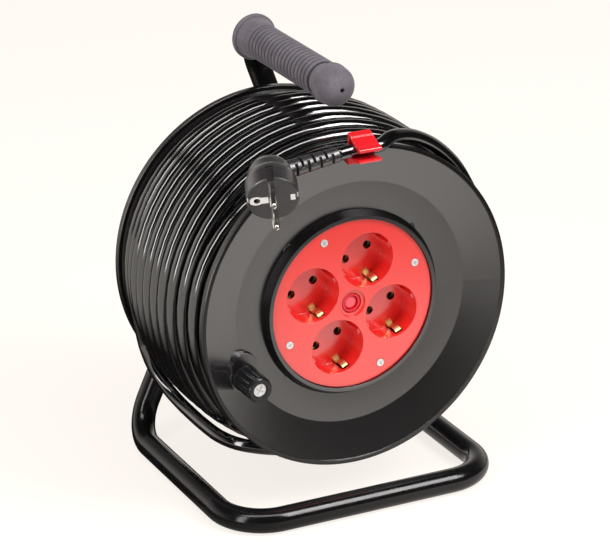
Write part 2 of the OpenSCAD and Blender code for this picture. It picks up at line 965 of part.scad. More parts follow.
module wire(corners) {
  radii = [for (i = [0 : len(corners) - 1]) i == 0 || i == len(corners) - 1 ? 0 : 3];
  on_panel()
    bent_bar(corners, radii, wire_d);
}

// Depth at which the live wire crosses to the cut-out.
live_cross_y = 38;

module live_wire() {
  color([0.4, 0.24, 0.14])
    wire([
      [live_hole[0], lead_depth, -lead_end], [live_hole[0], lead_depth, live_hole[1]],
      [live_hole[0], live_cross_y, live_hole[1]], [-cutout_half_w, live_cross_y, live_hole[1]]
    ]);
}

module neutral_wire() {
  color([0.15, 0.3, 0.65])
    wire([
      [neutral_hole[0], lead_depth, -lead_end], [neutral_hole[0], lead_depth, neutral_hole[1]],
      [neutral_hole[0], neutral_bar_y + bar_t, neutral_hole[1]]
    ]);
}

module earth_wire() {
  lead_y = lead_depth - 3;
  color([0.55, 0.7, 0.2])
    wire([
      [-lead_bend, lead_y, -lead_end], [-lead_bend, lead_y, earth_hole[1]],
      [earth_hole[0], lead_y, earth_hole[1]], [earth_hole[0], earth_bar_y + bar_t, earth_hole[1]]
    ]);
}

// ---------------------------------------------------------------- crank

knob_back = knob_foot - knob_gap;
knob_front = knob_back - knob_len;
knob_seat = knob_front + 4.2;
spindle_head_d = 9.6;
spindle_head_h = 2.6;

module crank_spindle() {
  color([0.85, 0.86, 0.87])
    on_axis()
      at_polar(knob_r, knob_angle) {
        rod(thread_d, knob_foot - 0.5, thread_end - 0.5);
        rod(spindle_d, knob_seat - 0.3, knob_foot);
        difference() {
          rod(spindle_head_d, knob_seat - 0.3 - spindle_head_h, knob_seat - 0.3);
          for (turn = [30, 120])
            rotate([0, turn, 0])
              translate([-0.6, knob_seat - spindle_head_h - 1.3, -3])
                cube([1.2, 2.2, 6]);
        }
      }
}

rib_circle = knob_d / 2 - 1.8;

module crank_knob() {
  color([0.08, 0.08, 0.09])
    on_axis()
      at_polar(knob_r, knob_angle)
        difference() {
          union() {
            turned([
              [0, knob_front], [knob_end_d / 2 - 0.8, knob_front], [knob_end_d / 2, knob_front + 0.8],
              [knob_end_d / 2, knob_front + 3.2], [knob_d / 2 - 1.3, knob_front + 3.2],
              [knob_d / 2 - 1.3, knob_back - 2.4], [knob_d / 2, knob_back - 2.4],
              [knob_d / 2, knob_back], [0, knob_back]
            ]);
            for (i = [0 : knob_ribs - 1])
              rotate([0, i * 360 / knob_ribs, 0])
                translate([rib_circle, 0, 0])
                  rod(3.2, knob_front + 3.2, knob_back - 1);
          }
          rod(spindle_d + 0.1, knob_seat - 1, knob_back + 1);
          rod(spindle_head_d + 0.6, knob_front - 1, knob_seat);
        }
}

// ---------------------------------------------------------------- cable clip

cord_r = cord_d / 2;
clip_y = -clip_t - cord_r - 0.25;
clip_z = rim_r;
arm_rise = 10.7;
arm_drop = 9;
arm_reach = 18.6;
arm_top = clip_z + arm_rise;
arm_slope = arm_drop / arm_reach;
arm_front = -arm_reach;
floor_top = clip_z - cord_r - 0.25;

module cable_clip() {
  color([0.92, 0.16, 0.16])
    on_axis() {
      translate([clip_x - clip_len / 2, 0, 0])
        rotate([90, 0, 90])
          linear_extrude(clip_len)
            polygon([
              [-0.1, clip_z],
              [-0.1, arm_top],
              [arm_front, arm_top + arm_slope * arm_front],
              [arm_front - 0.3, arm_top + arm_slope * arm_front - 1.6],
              [arm_front + 1.4, arm_top + arm_slope * (arm_front + 1.4) - clip_t - 0.6],
              [-clip_t, arm_top - 1.12 * clip_t - arm_slope * clip_t],
              [-clip_t, floor_top],
              [-10, floor_top],
              [-16.6, floor_top + 0.7],
              [-18.4, floor_top - 0.1],
              [-18.2, floor_top - clip_t],
              [-10, floor_top - clip_t],
              [-clip_t, floor_top - clip_t],
              [-clip_t, clip_peg_z - 4],
              [-0.1, clip_peg_z - 4],
              [3.2, clip_peg_z - 3.5],
              [0.7, rim_r - lip_w - 0.3],
              [-0.1, rim_r - lip_w - 0.3]
            ]);
      translate([clip_x - clip_peg_w / 2, 0, clip_peg_z - clip_peg_t / 2])
        cube([clip_peg_w, 8, clip_peg_t]);
    }
}

// ---------------------------------------------------------------- cord

wound_sides = 6;
wound_rings = 24;
tail_sides = 8;
wound_front = 21;
wound_back = 133;
wound_extra = 0.25;
wound_end_angle = 188;
core_gap = 1.4;
core_depths = [17, 26, 38, 50, 62, 104, 116, 126, 136];
// Radius of the outer layer's axis, by its distance behind the front rim.
wound_radii = [
  [15, 112.6], [26, 113.2], [38, 116.6], [50, 119], [62, 120.2], [86, 120.5],
  [104, 119.8], [116, 117.6], [126, 114], [134, 111.6], [150, 111]
];
wound_turns = cord_turns + wound_extra;
wound_pitch = (wound_back - wound_front) / wound_turns;
// Diameter of the rims for which the cord's radii are given.
wound_rim_d = 237;
wound_scale = rim_d / wound_rim_d;

function wound_r(y) = lookup(y, wound_radii) * wound_scale;
function polar_point(a, r, y) = [r * cos(a), y, r * sin(a)];
function wound_point(turn) = let (y = wound_front + wound_pitch * turn)
  polar_point(wound_end_angle - 360 * (wound_turns - turn), wound_r(y), y);

wound_last = round(wound_rings * wound_turns);
wound_body = [for (i = [0 : wound_last]) wound_point(i / wound_rings)];
wound_start_way = unit(wound_body[0] - wound_body[1]);
wound_end_way = unit(wound_body[wound_last] - wound_body[wound_last - 1]);
wound_end = wound_body[wound_last] + wound_end_way * cord_d;
wound_path = concat([wound_body[0] + wound_start_way * cord_d], wound_body, [wound_end]);

// Points of a round tube's rings along a path about the drum's axis.
function ring(p, way, r, sides) = let (
  across = unit(cross(way, [p[0], 0, p[2]])),
  out = cross(across, way)
) [for (k = [0 : sides - 1]) p + r * (cos(k * 360 / sides) * out + sin(k * 360 / sides) * across)];

function way_at(path, i) = let (last = len(path) - 1)
  unit(path[min(i + 1, last)] - path[max(i - 1, 0)]);

function tube_points(path, r, sides) = [
  for (i = [0 : len(path) - 1]) each ring(path[i], way_at(path, i), r, sides)
];

function tube_faces(rings, sides) = concat(
  [for (k = [1 : sides - 2]) [0, k + 1, k]],
  [
    for (i = [0 : rings - 2], k = [0 : sides - 1])
      let (a = i * sides + k, b = i * sides + (k + 1) % sides)
        each [[a, b, b + sides], [a, b + sides, a + sides]]
  ],
  [for (k = [1 : sides - 2]) [for (c = [0, k, k + 1]) (rings - 1) * sides + c]]
);

module tube_along(path, r, sides) {
  polyhedron(tube_points(path, r, sides), tube_faces(len(path), sides), convexity = 10);
}

module cord_core() {
  color([0.06, 0.06, 0.07])
    on_axis()
      turned(concat(
        [
          [barrel_r + 0.3, boss_foot + wall + 0.4], [flat_r + 1, dish_depth + wall + 0.4],
          [wound_r(15) - cord_r - 0.8, 8.2], [wound_r(15) - cord_r - 0.8, 15.5]
        ],
        [for (y = core_depths) [wound_r(y) - cord_r - core_gap, y]],
        [
          [wound_r(136) - cord_r - core_gap, drum_w - 8.2],
          [flat_r + 1, drum_w - dish_depth - wall - 0.4],
          [barrel_r + 0.3, drum_w - boss_foot - wall - 0.4]
        ]
      ));
}

module cord_winding() {
  color([0.06, 0.06, 0.07])
    on_axis()
      tube_along(wound_path, cord_r, wound_sides);
}

// The free end, as [angle, radius, depth]: over the turns, behind the rim and out to the clip.
tail_route = [
  [206, 117.5, 132.3], [211, 120.9, 130.4], [216, 124.4, 126.9], [220.3, 127.3, 121.2],
  [223.8, 129.6, 113], [226.2, 131.1, 102.5], [227.5, 131.9, 89], [228, 132.1, 68], [229, 131.2, 46],
  [232, 127.5, 30.5], [237.5, 121, 20], [244.5, 115.3, 14.5],
  [253, 113, 13.2], [264, 112.8, 13], [276, 112.8, 13], [288, 112.8, 13], [300, 112.8, 13],
  [312, 112.8, 13], [324, 112.8, 13], [336, 112.8, 13], [348, 112.8, 13], [360, 113, 13],
  [372, 113.2, 13.3], [384, 114, 13.8], [395, 116.5, 13.8], [405, 120, 13], [412.5, 122.2, 12],
  [420, 124, 10], [427, 124.9, 7.5], [433.5, 124.7, 3.4], [439, 123.5, -1.8]
];
relief_len = 51;
plug_face = [-78.2, -28.8, 102.4];
plug_way = unit([0.338, 0.875, 0.348]);
plug_side = unit(cross([0.23, 0.281, -0.932], plug_way));
relief_root = plug_face + 25 * plug_way;
clip_left = [clip_x - clip_len / 2, clip_y, clip_z];
relief_way = unit(clip_left - relief_root);
relief_side = unit(cross(relief_way, plug_way));
relief_tip = relief_root + relief_len * relief_way;

tail_points = concat(
  [wound_end, wound_end + wound_end_way * cord_d],
  [for (p = tail_route) polar_point(p[0], p[1] * wound_scale, p[2])],
  [[clip_x + 12.5, clip_y, clip_z + 0.3], [clip_x, clip_y, clip_z], clip_left]
);

// Catmull-Rom curve through points, with one more point between each two.
function eased(points) = let (last = len(points) - 1) concat(
  [
    for (i = [0 : last - 1])
      let (a = points[max(i - 1, 0)], b = points[i], c = points[i + 1], d = points[min(i + 2, last)])
        each [b, (9 * (b + c) - a - d) / 16]
  ],
  [points[last]]
);

tail_path = concat([wound_end], [for (i = [2 : 2 * len(tail_points) - 2]) eased(tail_points)[i]], [relief_tip]);

module cord_tail() {
  color([0.06, 0.06, 0.07])
    on_axis()
      tube_along(tail_path, cord_r, tail_sides);
}

// Ends at the barrel's outer face, under the lower layers.
module cord_lead() {
  color([0.06, 0.06, 0.07])
    on_panel()
      intersection() {
        lead_bar(cord_d);
        rod(2 * barrel_r + 0.2, lead_depth - cord_d, lead_depth + cord_d);
      }
}

function least(v) = min(v);
wound_least = least([
  for (i = [0 : wound_last - 13], j = [i + 12 : wound_last]) norm(wound_body[i] - wound_body[j])
]);
tail_least = least([
  for (i = [4 : len(tail_path) - 1], j = [0 : wound_last - 4]) norm(tail_path[i] - wound_body[j])
]);
echo(least_gap_in_winding = wound_least - cord_d, least_gap_under_tail = tail_least - cord_d);

// ---------------------------------------------------------------- plug

plug_r = plug_d / 2;
pin_depth = 6;
pin_root_d = plug_pin_d - 1;
groove_w = 5;
groove_t = 2.4;
contact_at = 12.5;
contact_hole_d = 4.8;
plate_w = 7;
strip_len = 15;
relief_start_d = 13;
relief_end_d = cord_d + 1;
relief_slots = 7;

module on_plug() {
  on_axis()
    oriented(plug_face, plug_side, plug_way)
      children();
}

module relief_cuts() {
  for (i = [0 : relief_slots - 1])
    rotate([0, 0, 90 * i])
      for (side = [0, 180])
        rotate([0, 0, side])
          translate([2.6, -relief_start_d, 17 + i * 4.6])
            cube([relief_start_d, 2 * relief_start_d, 2]);
}

module plug_body() {
  color([0.07, 0.07, 0.08]) {
    on_plug()
      difference() {
        rotate_extrude()
          polygon([
            [0, 0], [plug_r - 0.8, 0], [plug_r, 0.8], [plug_r, 13], [plug_r - 0.6, 16.5],
            [plug_r - 2, 20], [plug_r - 3, 26], [plug_r - 5, 30.5],
            [plug_r - 9, plug_depth], [0, plug_depth]
          ]);
        for (side = [-1, 1]) {
          translate([0, side * pin_pitch / 2, -1])
            cylinder(d = pin_root_d, h = pin_depth + 1);
          translate([-groove_w / 2, side * plug_r - groove_t, -1])
            cube([groove_w, 2 * groove_t, 15]);
          translate([side * plug_r - 2, -plate_w / 2 - fit_gap, -1])
            cube([4, plate_w + 2 * fit_gap, strip_len + 1 + fit_gap]);
        }
        translate([fit_gap - plug_r, -plate_w / 2 - fit_gap, -1])
          cube([plug_r - contact_at + 4, plate_w + 2 * fit_gap, 1.9]);
        translate([-contact_at, 0, -1])
          cylinder(d = contact_hole_d, h = 16);
      }
    on_axis()
      oriented(relief_root, cross(relief_side, relief_way), relief_way)
        difference() {
          translate([0, 0, plug_r - 8])
            cylinder(d1 = relief_start_d, d2 = relief_end_d, h = relief_len - plug_r + 8);
          relief_cuts();
        }
  }
}

module plug_pins() {
  color([0.84, 0.83, 0.8])
    on_plug()
      for (side = [-1, 1])
        translate([0, side * pin_pitch / 2, 0])
          rotate_extrude()
            polygon([
              [0, -plug_pin_len], [1.2, -plug_pin_len], [2, -plug_pin_len + 0.5],
              [plug_pin_d / 2, -plug_pin_len + 1.5], [plug_pin_d / 2, 0],
              [pin_root_d / 2, 0], [pin_root_d / 2, pin_depth], [0, pin_depth]
            ]);
}

module plug_earth_contacts() {
  color([0.84, 0.83, 0.8])
    on_plug()
      difference() {
        union() {
          for (side = [-1, 1])
            translate([side * (plug_r - 1.2) - 0.5, -plate_w / 2, 0])
              cube([1, plate_w, strip_len]);
          translate([0.3 - plug_r, -plate_w / 2, 0])
            cube([plug_r - contact_at + 3.5, plate_w, 0.8]);
        }
        translate([-contact_at, 0, -1])
          cylinder(d = contact_hole_d, h = 3);
      }
}

frame_tube();
hub_plate();
handle_grip();
axle_bolt();
axle_washers();
axle_nut();
hub_bushing();
drum_front();
drum_rear();
drum_screws();
outlet_panel();
panel_screws();
contact_cover();
cover_screws();
live_busbar();
neutral_busbar();
earth_bar();
earth_clip_1();
earth_clip_2();
earth_clip_3();
earth_clip_4();
thermal_cutout();
reset_button();
cord_clamp();
clamp_screws();
live_wire();
neutral_wire();
earth_wire();
crank_spindle();
crank_knob();
cable_clip();
cord_core();
cord_winding();
cord_tail();
cord_lead();
plug_body();
plug_pins();
plug_earth_contacts();
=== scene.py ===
"""Extension cord reel: the look of every piece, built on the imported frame."""

import json
import math

import bmesh
import bpy
from mathutils import Matrix, Vector


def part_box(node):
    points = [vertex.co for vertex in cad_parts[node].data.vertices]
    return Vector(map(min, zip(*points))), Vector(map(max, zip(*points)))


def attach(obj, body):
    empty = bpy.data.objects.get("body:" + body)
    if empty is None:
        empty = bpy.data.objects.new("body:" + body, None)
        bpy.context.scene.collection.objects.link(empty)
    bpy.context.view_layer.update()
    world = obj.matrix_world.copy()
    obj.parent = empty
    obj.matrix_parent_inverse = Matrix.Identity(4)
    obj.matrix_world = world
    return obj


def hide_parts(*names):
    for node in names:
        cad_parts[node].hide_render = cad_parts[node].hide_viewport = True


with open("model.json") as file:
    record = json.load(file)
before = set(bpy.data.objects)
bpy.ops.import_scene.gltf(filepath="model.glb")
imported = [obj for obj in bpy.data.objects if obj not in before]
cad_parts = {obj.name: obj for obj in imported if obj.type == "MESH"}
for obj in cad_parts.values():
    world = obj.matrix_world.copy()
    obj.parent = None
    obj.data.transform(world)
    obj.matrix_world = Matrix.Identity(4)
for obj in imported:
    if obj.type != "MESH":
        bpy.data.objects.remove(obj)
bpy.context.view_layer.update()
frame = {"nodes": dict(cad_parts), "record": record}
nodes = frame["nodes"]

# ---------------------------------------------------------------- the reel's sizes, in millimetres

MM = 0.001

RIM_R = 118.5
BARREL_R = 72.0
CORD_D = 9.5
CORD_R = CORD_D / 2
PANEL_TURN = math.radians(24.3)

flange_low, flange_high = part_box("drum_front")
# The drum's axis, in the plane of its front rim.
HUB = Vector((0.0, flange_low.y, (flange_low.z + flange_high.z) / 2))


def place(x, y, z):
    """A point given from the hub in millimetres, in the frame's metres."""
    return HUB + Vector((x, y, z)) * MM


def polar(angle, r, y):
    """A point at an angle in degrees round the drum's axis, from +X towards +Z."""
    a = math.radians(angle)
    return place(r * math.cos(a), y, r * math.sin(a))


def on_panel(u, y, v):
    """A point in the outlet panel's turned frame."""
    c, s = math.cos(PANEL_TURN), math.sin(PANEL_TURN)
    return place(u * c - v * s, y, u * s + v * c)


# ---------------------------------------------------------------- camera

VIEW_AZIMUTH = math.radians(-26.47)
VIEW_ELEVATION = math.radians(21.83)
VIEW_ROLL = math.radians(-0.23)
VIEW_FROM = (-892.0, -1710.4, 795.9)
FOCAL_PIXELS = 3010.0
FRAME_WIDTH = 610.0
SENSOR = 36.0
CLIP_END = 50.0


def add_camera():
    """A long lens ahead of the reel, a little to the left and above it."""
    data = bpy.data.cameras.new("camera")
    data.sensor_width = SENSOR
    data.lens = FOCAL_PIXELS / FRAME_WIDTH * SENSOR
    data.clip_end = CLIP_END
    camera = bpy.data.objects.new("camera", data)
    camera.location = place(*VIEW_FROM)
    swung = Matrix.Rotation(VIEW_AZIMUTH, 3, "Z")
    tilted = Matrix.Rotation(math.pi / 2 - VIEW_ELEVATION, 3, "X")
    rolled = Matrix.Rotation(VIEW_ROLL, 3, "Z")
    camera.rotation_euler = (swung @ tilted @ rolled).to_euler()
    bpy.context.scene.collection.objects.link(camera)
    bpy.context.scene.camera = camera


add_camera()

# ---------------------------------------------------------------- cord

LAYERS = 5
LAYER_RISE = 9.6
# The least share of a full rise, where a layer lies down into the one below.
LAYER_NEST = 0.94
STEP_ANGLE = 6.0
# The angle over which a turn climbs onto the layer below, and the first one off the barrel.
CLIMB_ANGLE = 70.0
FIRST_CLIMB_ANGLE = 240.0

INNER_PITCH = 10.0
INNER_BACK = 130.5
INNER_FRONT = 20.0
OUTER_FRONT = 21.0
OUTER_BACK = 133.0
OUTER_TURNS = 9.25
OUTER_END_ANGLE = 188.0
OUTER_PITCH = (OUTER_BACK - OUTER_FRONT) / OUTER_TURNS
# Radius of the outer layer by its distance behind the front rim.
OUTER_RADII = (
    (15, 112.6), (26, 113.2), (38, 116.6), (50, 119.0), (62, 120.2), (86, 120.5),
    (104, 119.8), (116, 117.6), (126, 114.0), (134, 111.6), (150, 111.0),
)
# The free end, as (angle, radius, depth).
TAIL_ROUTE = (
    (206, 117.5, 132.3), (211, 120.9, 130.4), (216, 124.4, 126.9), (220.3, 127.3, 121.2),
    (223.8, 129.6, 113), (226.2, 131.1, 102.5), (227.5, 131.9, 89), (228, 132.1, 68),
    (229, 131.2, 46), (232, 127.5, 30.5), (237.5, 121, 20), (244.5, 115.3, 14.5),
    (253, 113, 13.2), (264, 112.8, 13), (276, 112.8, 13), (288, 112.8, 13), (300, 112.8, 13),
    (312, 112.8, 13), (324, 112.8, 13), (336, 112.8, 13), (348, 112.8, 13), (360, 113, 13),
    (372, 113.2, 13.3), (384, 114, 13.8), (395, 116.5, 13.8), (405, 120, 13),
    (412.5, 122.2, 12), (420, 124, 10), (427, 124.9, 7.5), (433.5, 124.7, 3.4), (439, 123.5, -1.8),
)
TAIL_STEPS = 4

# The stretch inside the barrel: a straight run out of the clamp and a bend onto the barrel.
LEAD_DEPTH = 66.0
LEAD_STRAIGHT = (8.0, 14.0, 20.0, 26.0, 32.0)
LEAD_BEND = 38.0
LEAD_BEND_STEPS = 13
BARREL_GAP = 0.3
LEAD_RING = BARREL_R + CORD_R + BARREL_GAP

# The middle of the cord in the clip, and how far to its right the cord bends in.
CLIP_POINT = Vector((0.5, -6.8, 118.5))
CLIP_LEN = 17.0
CLIP_LEFT = CLIP_POINT - Vector((CLIP_LEN / 2, 0, 0))
CLIP_ENTRY = CLIP_POINT + Vector((12.5, 0.0, 0.3))

PLUG_FACE = Vector((-78.2, -28.8, 102.4))
PLUG_WAY = Vector((0.338, 0.875, 0.348)).normalized()
PLUG_SIDE = Vector((0.23, 0.281, -0.932)).cross(PLUG_WAY).normalized()
PLUG_LEN = 25.0
RELIEF_ROOT = PLUG_FACE + PLUG_LEN * PLUG_WAY
RELIEF_LEN = 51.0
RELIEF_TIP = RELIEF_ROOT + RELIEF_LEN * (CLIP_LEFT - RELIEF_ROOT).normalized()

CORD_SIDES = 14


def looked_up(table, x):
    """A value between the table's points, straight from one to the next."""
    if x <= table[0][0]:
        return table[0][1]
    for (xa, a), (xb, b) in zip(table, table[1:]):
        if x <= xb:
            return a + (b - a) * (x - xa) / (xb - xa)
    return table[-1][1]


def eased(t):
    """From 0 to 1 with a soft start and stop."""
    t = min(max(t, 0.0), 1.0)
    return t * t * (3 - 2 * t)


def layer_radius(layer, y):
    """Radius of one layer's centreline; the last layer is the outer one."""
    r = looked_up(OUTER_RADII, y) - LAYER_RISE * (LAYERS - layer)
    return max(r, LEAD_RING + LAYER_RISE * (layer - 1) * LAYER_NEST)


def climbing_radius(layer, y, swing):
    """Radius at an angle past a layer's start, where the cord climbs onto the layer below."""
    if layer == 1:
        below, climbed = LEAD_RING, eased(swing / FIRST_CLIMB_ANGLE)
    else:
        below, climbed = layer_radius(layer - 1, y), eased(swing / CLIMB_ANGLE)
    return below * (1 - climbed) + layer_radius(layer, y) * climbed


def lead_points():
    """The stretch inside the barrel, from the clamp to the barrel's foot."""
    points = [on_panel(-LEAD_BEND, LEAD_DEPTH, -v) for v in LEAD_STRAIGHT]
    centre = LEAD_BEND - LEAD_RING
    for step in range(1, LEAD_BEND_STEPS):
        a = math.radians(180 + 90 * step / LEAD_BEND_STEPS)
        across, down = LEAD_BEND * math.cos(a), LEAD_BEND * math.sin(a)
        points.append(on_panel(across, LEAD_DEPTH, centre + down))
    return points


def layer_rows():
    """(angle, radius, depth) along the wound layers, as far as the outer layer's end."""
    start = 270.0 + math.degrees(PANEL_TURN)
    outer_start = OUTER_END_ANGLE - 360 * OUTER_TURNS
    inner_runs = (
        (1, LEAD_DEPTH, INNER_BACK), (2, INNER_BACK, INNER_FRONT),
        (3, INNER_FRONT, INNER_BACK), (4, INNER_BACK, INNER_FRONT),
    )
    rows = []
    wound = 0.0
    for layer, y_from, y_to in inner_runs:
        run_angle = abs(y_to - y_from) / INNER_PITCH * 360
        if layer == LAYERS - 1:
            # The last inner run is stretched so that it meets the outer layer's first turn.
            run_angle += (outer_start - start - wound - run_angle) % 360
        count = round(run_angle / STEP_ANGLE)
        for i in range(count):
            swing = run_angle * i / count
            y = y_from + (y_to - y_from) * i / count
            rows.append((start + wound + swing, climbing_radius(layer, y, swing), y))
        wound += run_angle
    count = round(OUTER_TURNS * 360 / STEP_ANGLE)
    for i in range(count + 1):
        swing = 360 * OUTER_TURNS * i / count
        y = OUTER_FRONT + OUTER_PITCH * swing / 360
        rows.append((start + wound + swing, climbing_radius(LAYERS, y, swing), y))
    return rows


def curve_through(points, steps):
    """A Catmull-Rom curve through points, with a number of steps between each two."""
    curve = []
    last = len(points) - 1
    for i in range(last):
        a, b = points[max(i - 1, 0)], points[i]
        c, d = points[i + 1], points[min(i + 2, last)]
        for k in range(steps):
            t = k / steps
            curve.append(0.5 * (2 * b + (c - a) * t + (2 * a - 5 * b + 4 * c - d) * t * t
                                + (3 * b - a - 3 * c + d) * t * t * t))
    curve.append(points[last])
    return curve


def cord_route():
    """Every point of the cord's centreline, from the clamp in the barrel to the strain relief."""
    wound = [polar(*row) for row in layer_rows()]
    tail = [polar(*row) for row in TAIL_ROUTE]
    tail += [place(*point) for point in (CLIP_ENTRY, CLIP_POINT, CLIP_LEFT, RELIEF_TIP)]
    joined = curve_through(wound[-2:] + tail, TAIL_STEPS)[TAIL_STEPS:]
    return lead_points() + wound[:-1] + joined


def add_piece(name, mesh):
    """Links a finished mesh as an object at the origin."""
    piece = bpy.data.objects.new(name, mesh)
    bpy.context.scene.collection.objects.link(piece)
    return piece


def tube_along(name, path, r, sides):
    """A closed round tube; its UV map runs once round the tube, and in metres along it."""
    bm = bmesh.new()
    uv = bm.loops.layers.uv.new("along")
    rings = []
    lengths = [0.0]
    for a, b in zip(path, path[1:]):
        lengths.append(lengths[-1] + (b - a).length)
    way = (path[1] - path[0]).normalized()
    side = way.cross(Vector((0, 1, 0))).normalized()
    for i, point in enumerate(path):
        way = (path[min(i + 1, len(path) - 1)] - path[max(i - 1, 0)]).normalized()
        side = (side - side.dot(way) * way).normalized()
        other = way.cross(side)
        ring = []
        for k in range(sides):
            a = 2 * math.pi * k / sides
            ring.append(bm.verts.new(point + (math.cos(a) * side + math.sin(a) * other) * r))
        rings.append(ring)
    for i, (ring, after) in enumerate(zip(rings, rings[1:])):
        for k in range(sides):
            n = (k + 1) % sides
            face = bm.faces.new((ring[k], ring[n], after[n], after[k]))
            face.smooth = True
            corners = ((k, i), (k + 1, i), (k + 1, i + 1), (k, i + 1))
            for loop, (across, up) in zip(face.loops, corners):
                loop[uv].uv = (across / sides, lengths[up])
    bm.faces.new(reversed(rings[0]))
    bm.faces.new(rings[-1])
    mesh = bpy.data.meshes.new(name)
    bm.to_mesh(mesh)
    bm.free()
    return add_piece(name, mesh)


cord_path = cord_route()
cord = tube_along("cord", cord_path, CORD_R * MM, CORD_SIDES)
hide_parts("cord_core", "cord_winding", "cord_tail", "cord_lead")
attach(cord, "drum")

# ---------------------------------------------------------------- how new pieces are made

# Edges sharper than this are bevelled; corners sharper than the other stay crisp on a turned piece.
BEVEL_FROM = 0.6
CRISP_FROM = math.radians(34)
# Points closer than this are one.
MERGE = 0.01


def carry(bm, grown, way):
    """Moves the corners that an extrusion added."""
    corners = [g for g in grown["geom"] if isinstance(g, bmesh.types.BMVert)]
    bmesh.ops.translate(bm, verts=corners, vec=way)


def extrude(bm, points, way):
    """A prism: an outline of points, carried along a way."""
    face = bm.faces.new([bm.verts.new(p) for p in points])
    carry(bm, bmesh.ops.extrude_face_region(bm, geom=[face]), way)


def turn(bm, outline, at, sides):
    """A round solid from half of its outline; at() places each (radius, length) point."""
    line = [bm.verts.new(at(r, y)) for r, y in outline]
    edges = [bm.edges.new(pair) for pair in zip(line, line[1:])]
    bmesh.ops.spin(bm, geom=line + edges, cent=at(0, 0), axis=at(0, 1) - at(0, 0),
                   angle=2 * math.pi, steps=sides, use_merge=True)
    bmesh.ops.remove_doubles(bm, verts=bm.verts, dist=MERGE * MM)
    bmesh.ops.recalc_face_normals(bm, faces=bm.faces)
    for face in bm.faces:
        face.smooth = True


def bevel(bm, width):
    """Bevels the sharp edges and turns the faces out."""
    bmesh.ops.recalc_face_normals(bm, faces=bm.faces)
    sharp = [e for e in bm.edges if len(e.link_faces) == 2 and e.calc_face_angle() > BEVEL_FROM]
    bmesh.ops.bevel(bm, geom=sharp, offset=width * MM, offset_type="OFFSET", segments=2,
                    profile=0.5, affect="EDGES", material=-1, clamp_overlap=True)
    bmesh.ops.recalc_face_normals(bm, faces=bm.faces)


def finish_piece(name, bm, stands_for, body, crisp=False):
    """Adds a mesh as a piece on its body, in the place of a node."""
    mesh = bpy.data.meshes.new(name)
    bm.to_mesh(mesh)
    bm.free()
    if crisp:
        mesh.set_sharp_from_angle(angle=CRISP_FROM)
    piece = add_piece(name, mesh)
    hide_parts(stands_for)
    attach(piece, body)
    return piece


# ---------------------------------------------------------------- grip

GRIP_HEIGHT = 151.0
GRIP_FRONT = 22.0
GRIP_REAR = (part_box("handle_grip")[1].y - HUB.y) / MM
GRIP_R = 13.3
GRIP_SIDES = 72
VENT_R = 1.7
VENT_DEPTH = 8.0
VENT_EDGE = 0.5
DOME_R = 14.3
DOME_LEN = 13.0
DOME_FROM, DOME_STEP = 12, 6
RIBS_FROM = 50.5
RIBS_TO = GRIP_REAR - 17.0
RIB_COUNT = 19
RIB_DEPTH = 1.8
# One groove and its rib, as (share of the depth, share of the pitch).
RIB_SHAPE = ((1.0, 0.0), (1.0, 0.2), (0.25, 0.3), (0.0, 0.48), (0.0, 0.72), (0.25, 0.94))
COLLAR_R = 17.0
# The bead behind the dome, the flare behind the ribs, the groove before the collar and the
# collar, each as steps from a (radius, depth).
BEAD_AT = 40.5
BEAD = ((0.0, -0.4), (0.5, 0.0), (0.5, 0.8))
BEAD_FOOT = ((0.3, 1.4), (0.0, 4.0))
FLARE = ((0.0, 0.5), (0.4, 4.0), (1.3, 8.0))
COLLAR_GROOVE = ((2.2, -6.8), (1.0, -6.4), (1.0, -5.8))
COLLAR = ((-0.8, -5.6), (0.0, -4.4), (0.0, -2.4), (-0.9, -0.7), (-2.6, 0.0))


def stepped(r, y, steps):
    """Outline points at steps from a radius and a depth."""
    return [(r + out, y + back) for out, back in steps]


def grip_outline():
    """Half of the grip's outline, as (radius, depth): vent, dome, bead, ribs, flare and collar."""
    points = [(0.0, GRIP_FRONT + VENT_DEPTH), (VENT_R, GRIP_FRONT + VENT_DEPTH),
              (VENT_R, GRIP_FRONT + VENT_EDGE)]
    for angle in range(DOME_FROM, 91, DOME_STEP):
        a = math.radians(angle)
        points.append((DOME_R * math.sin(a), GRIP_FRONT + DOME_LEN * (1 - math.cos(a))))
    points += stepped(DOME_R, BEAD_AT, BEAD) + stepped(GRIP_R, BEAD_AT, BEAD_FOOT)
    pitch = (RIBS_TO - RIBS_FROM) / RIB_COUNT
    for i in range(RIB_COUNT):
        points += [(GRIP_R - RIB_DEPTH * sunk, RIBS_FROM + pitch * (i + share))
                   for sunk, share in RIB_SHAPE]
    points += stepped(GRIP_R, RIBS_TO, FLARE) + stepped(GRIP_R, GRIP_REAR, COLLAR_GROOVE)
    return points + stepped(COLLAR_R, GRIP_REAR, COLLAR) + [(0.0, GRIP_REAR)]


def grip():
    """The ribbed rubber grip, round the tube's end."""
    bm = bmesh.new()
    turn(bm, grip_outline(), lambda r, y: place(r, y, GRIP_HEIGHT), GRIP_SIDES)
    return finish_piece("grip", bm, "handle_grip", "stand", crisp=True)


# ---------------------------------------------------------------- plug contacts

METAL_EDGE = 0.12
PIN_HALF = 9.5
PIN_SIDES = 24
# Half of a pin's outline, as (radius, distance into the plug), with the rolled end's hole.
PIN_OUTLINE = (
    (0.0, -16.6), (0.95, -16.6), (1.0, -18.6), (1.35, -19.0), (1.8, -18.9), (2.25, -18.3),
    (2.4, -17.4), (2.4, 0.0), (1.9, 0.0), (1.9, 6.0), (0.0, 6.0),
)
# How far the plates stand out of the plug's face, and their thickness.
PLATE_OUT = 0.35
PLATE_T = 0.8
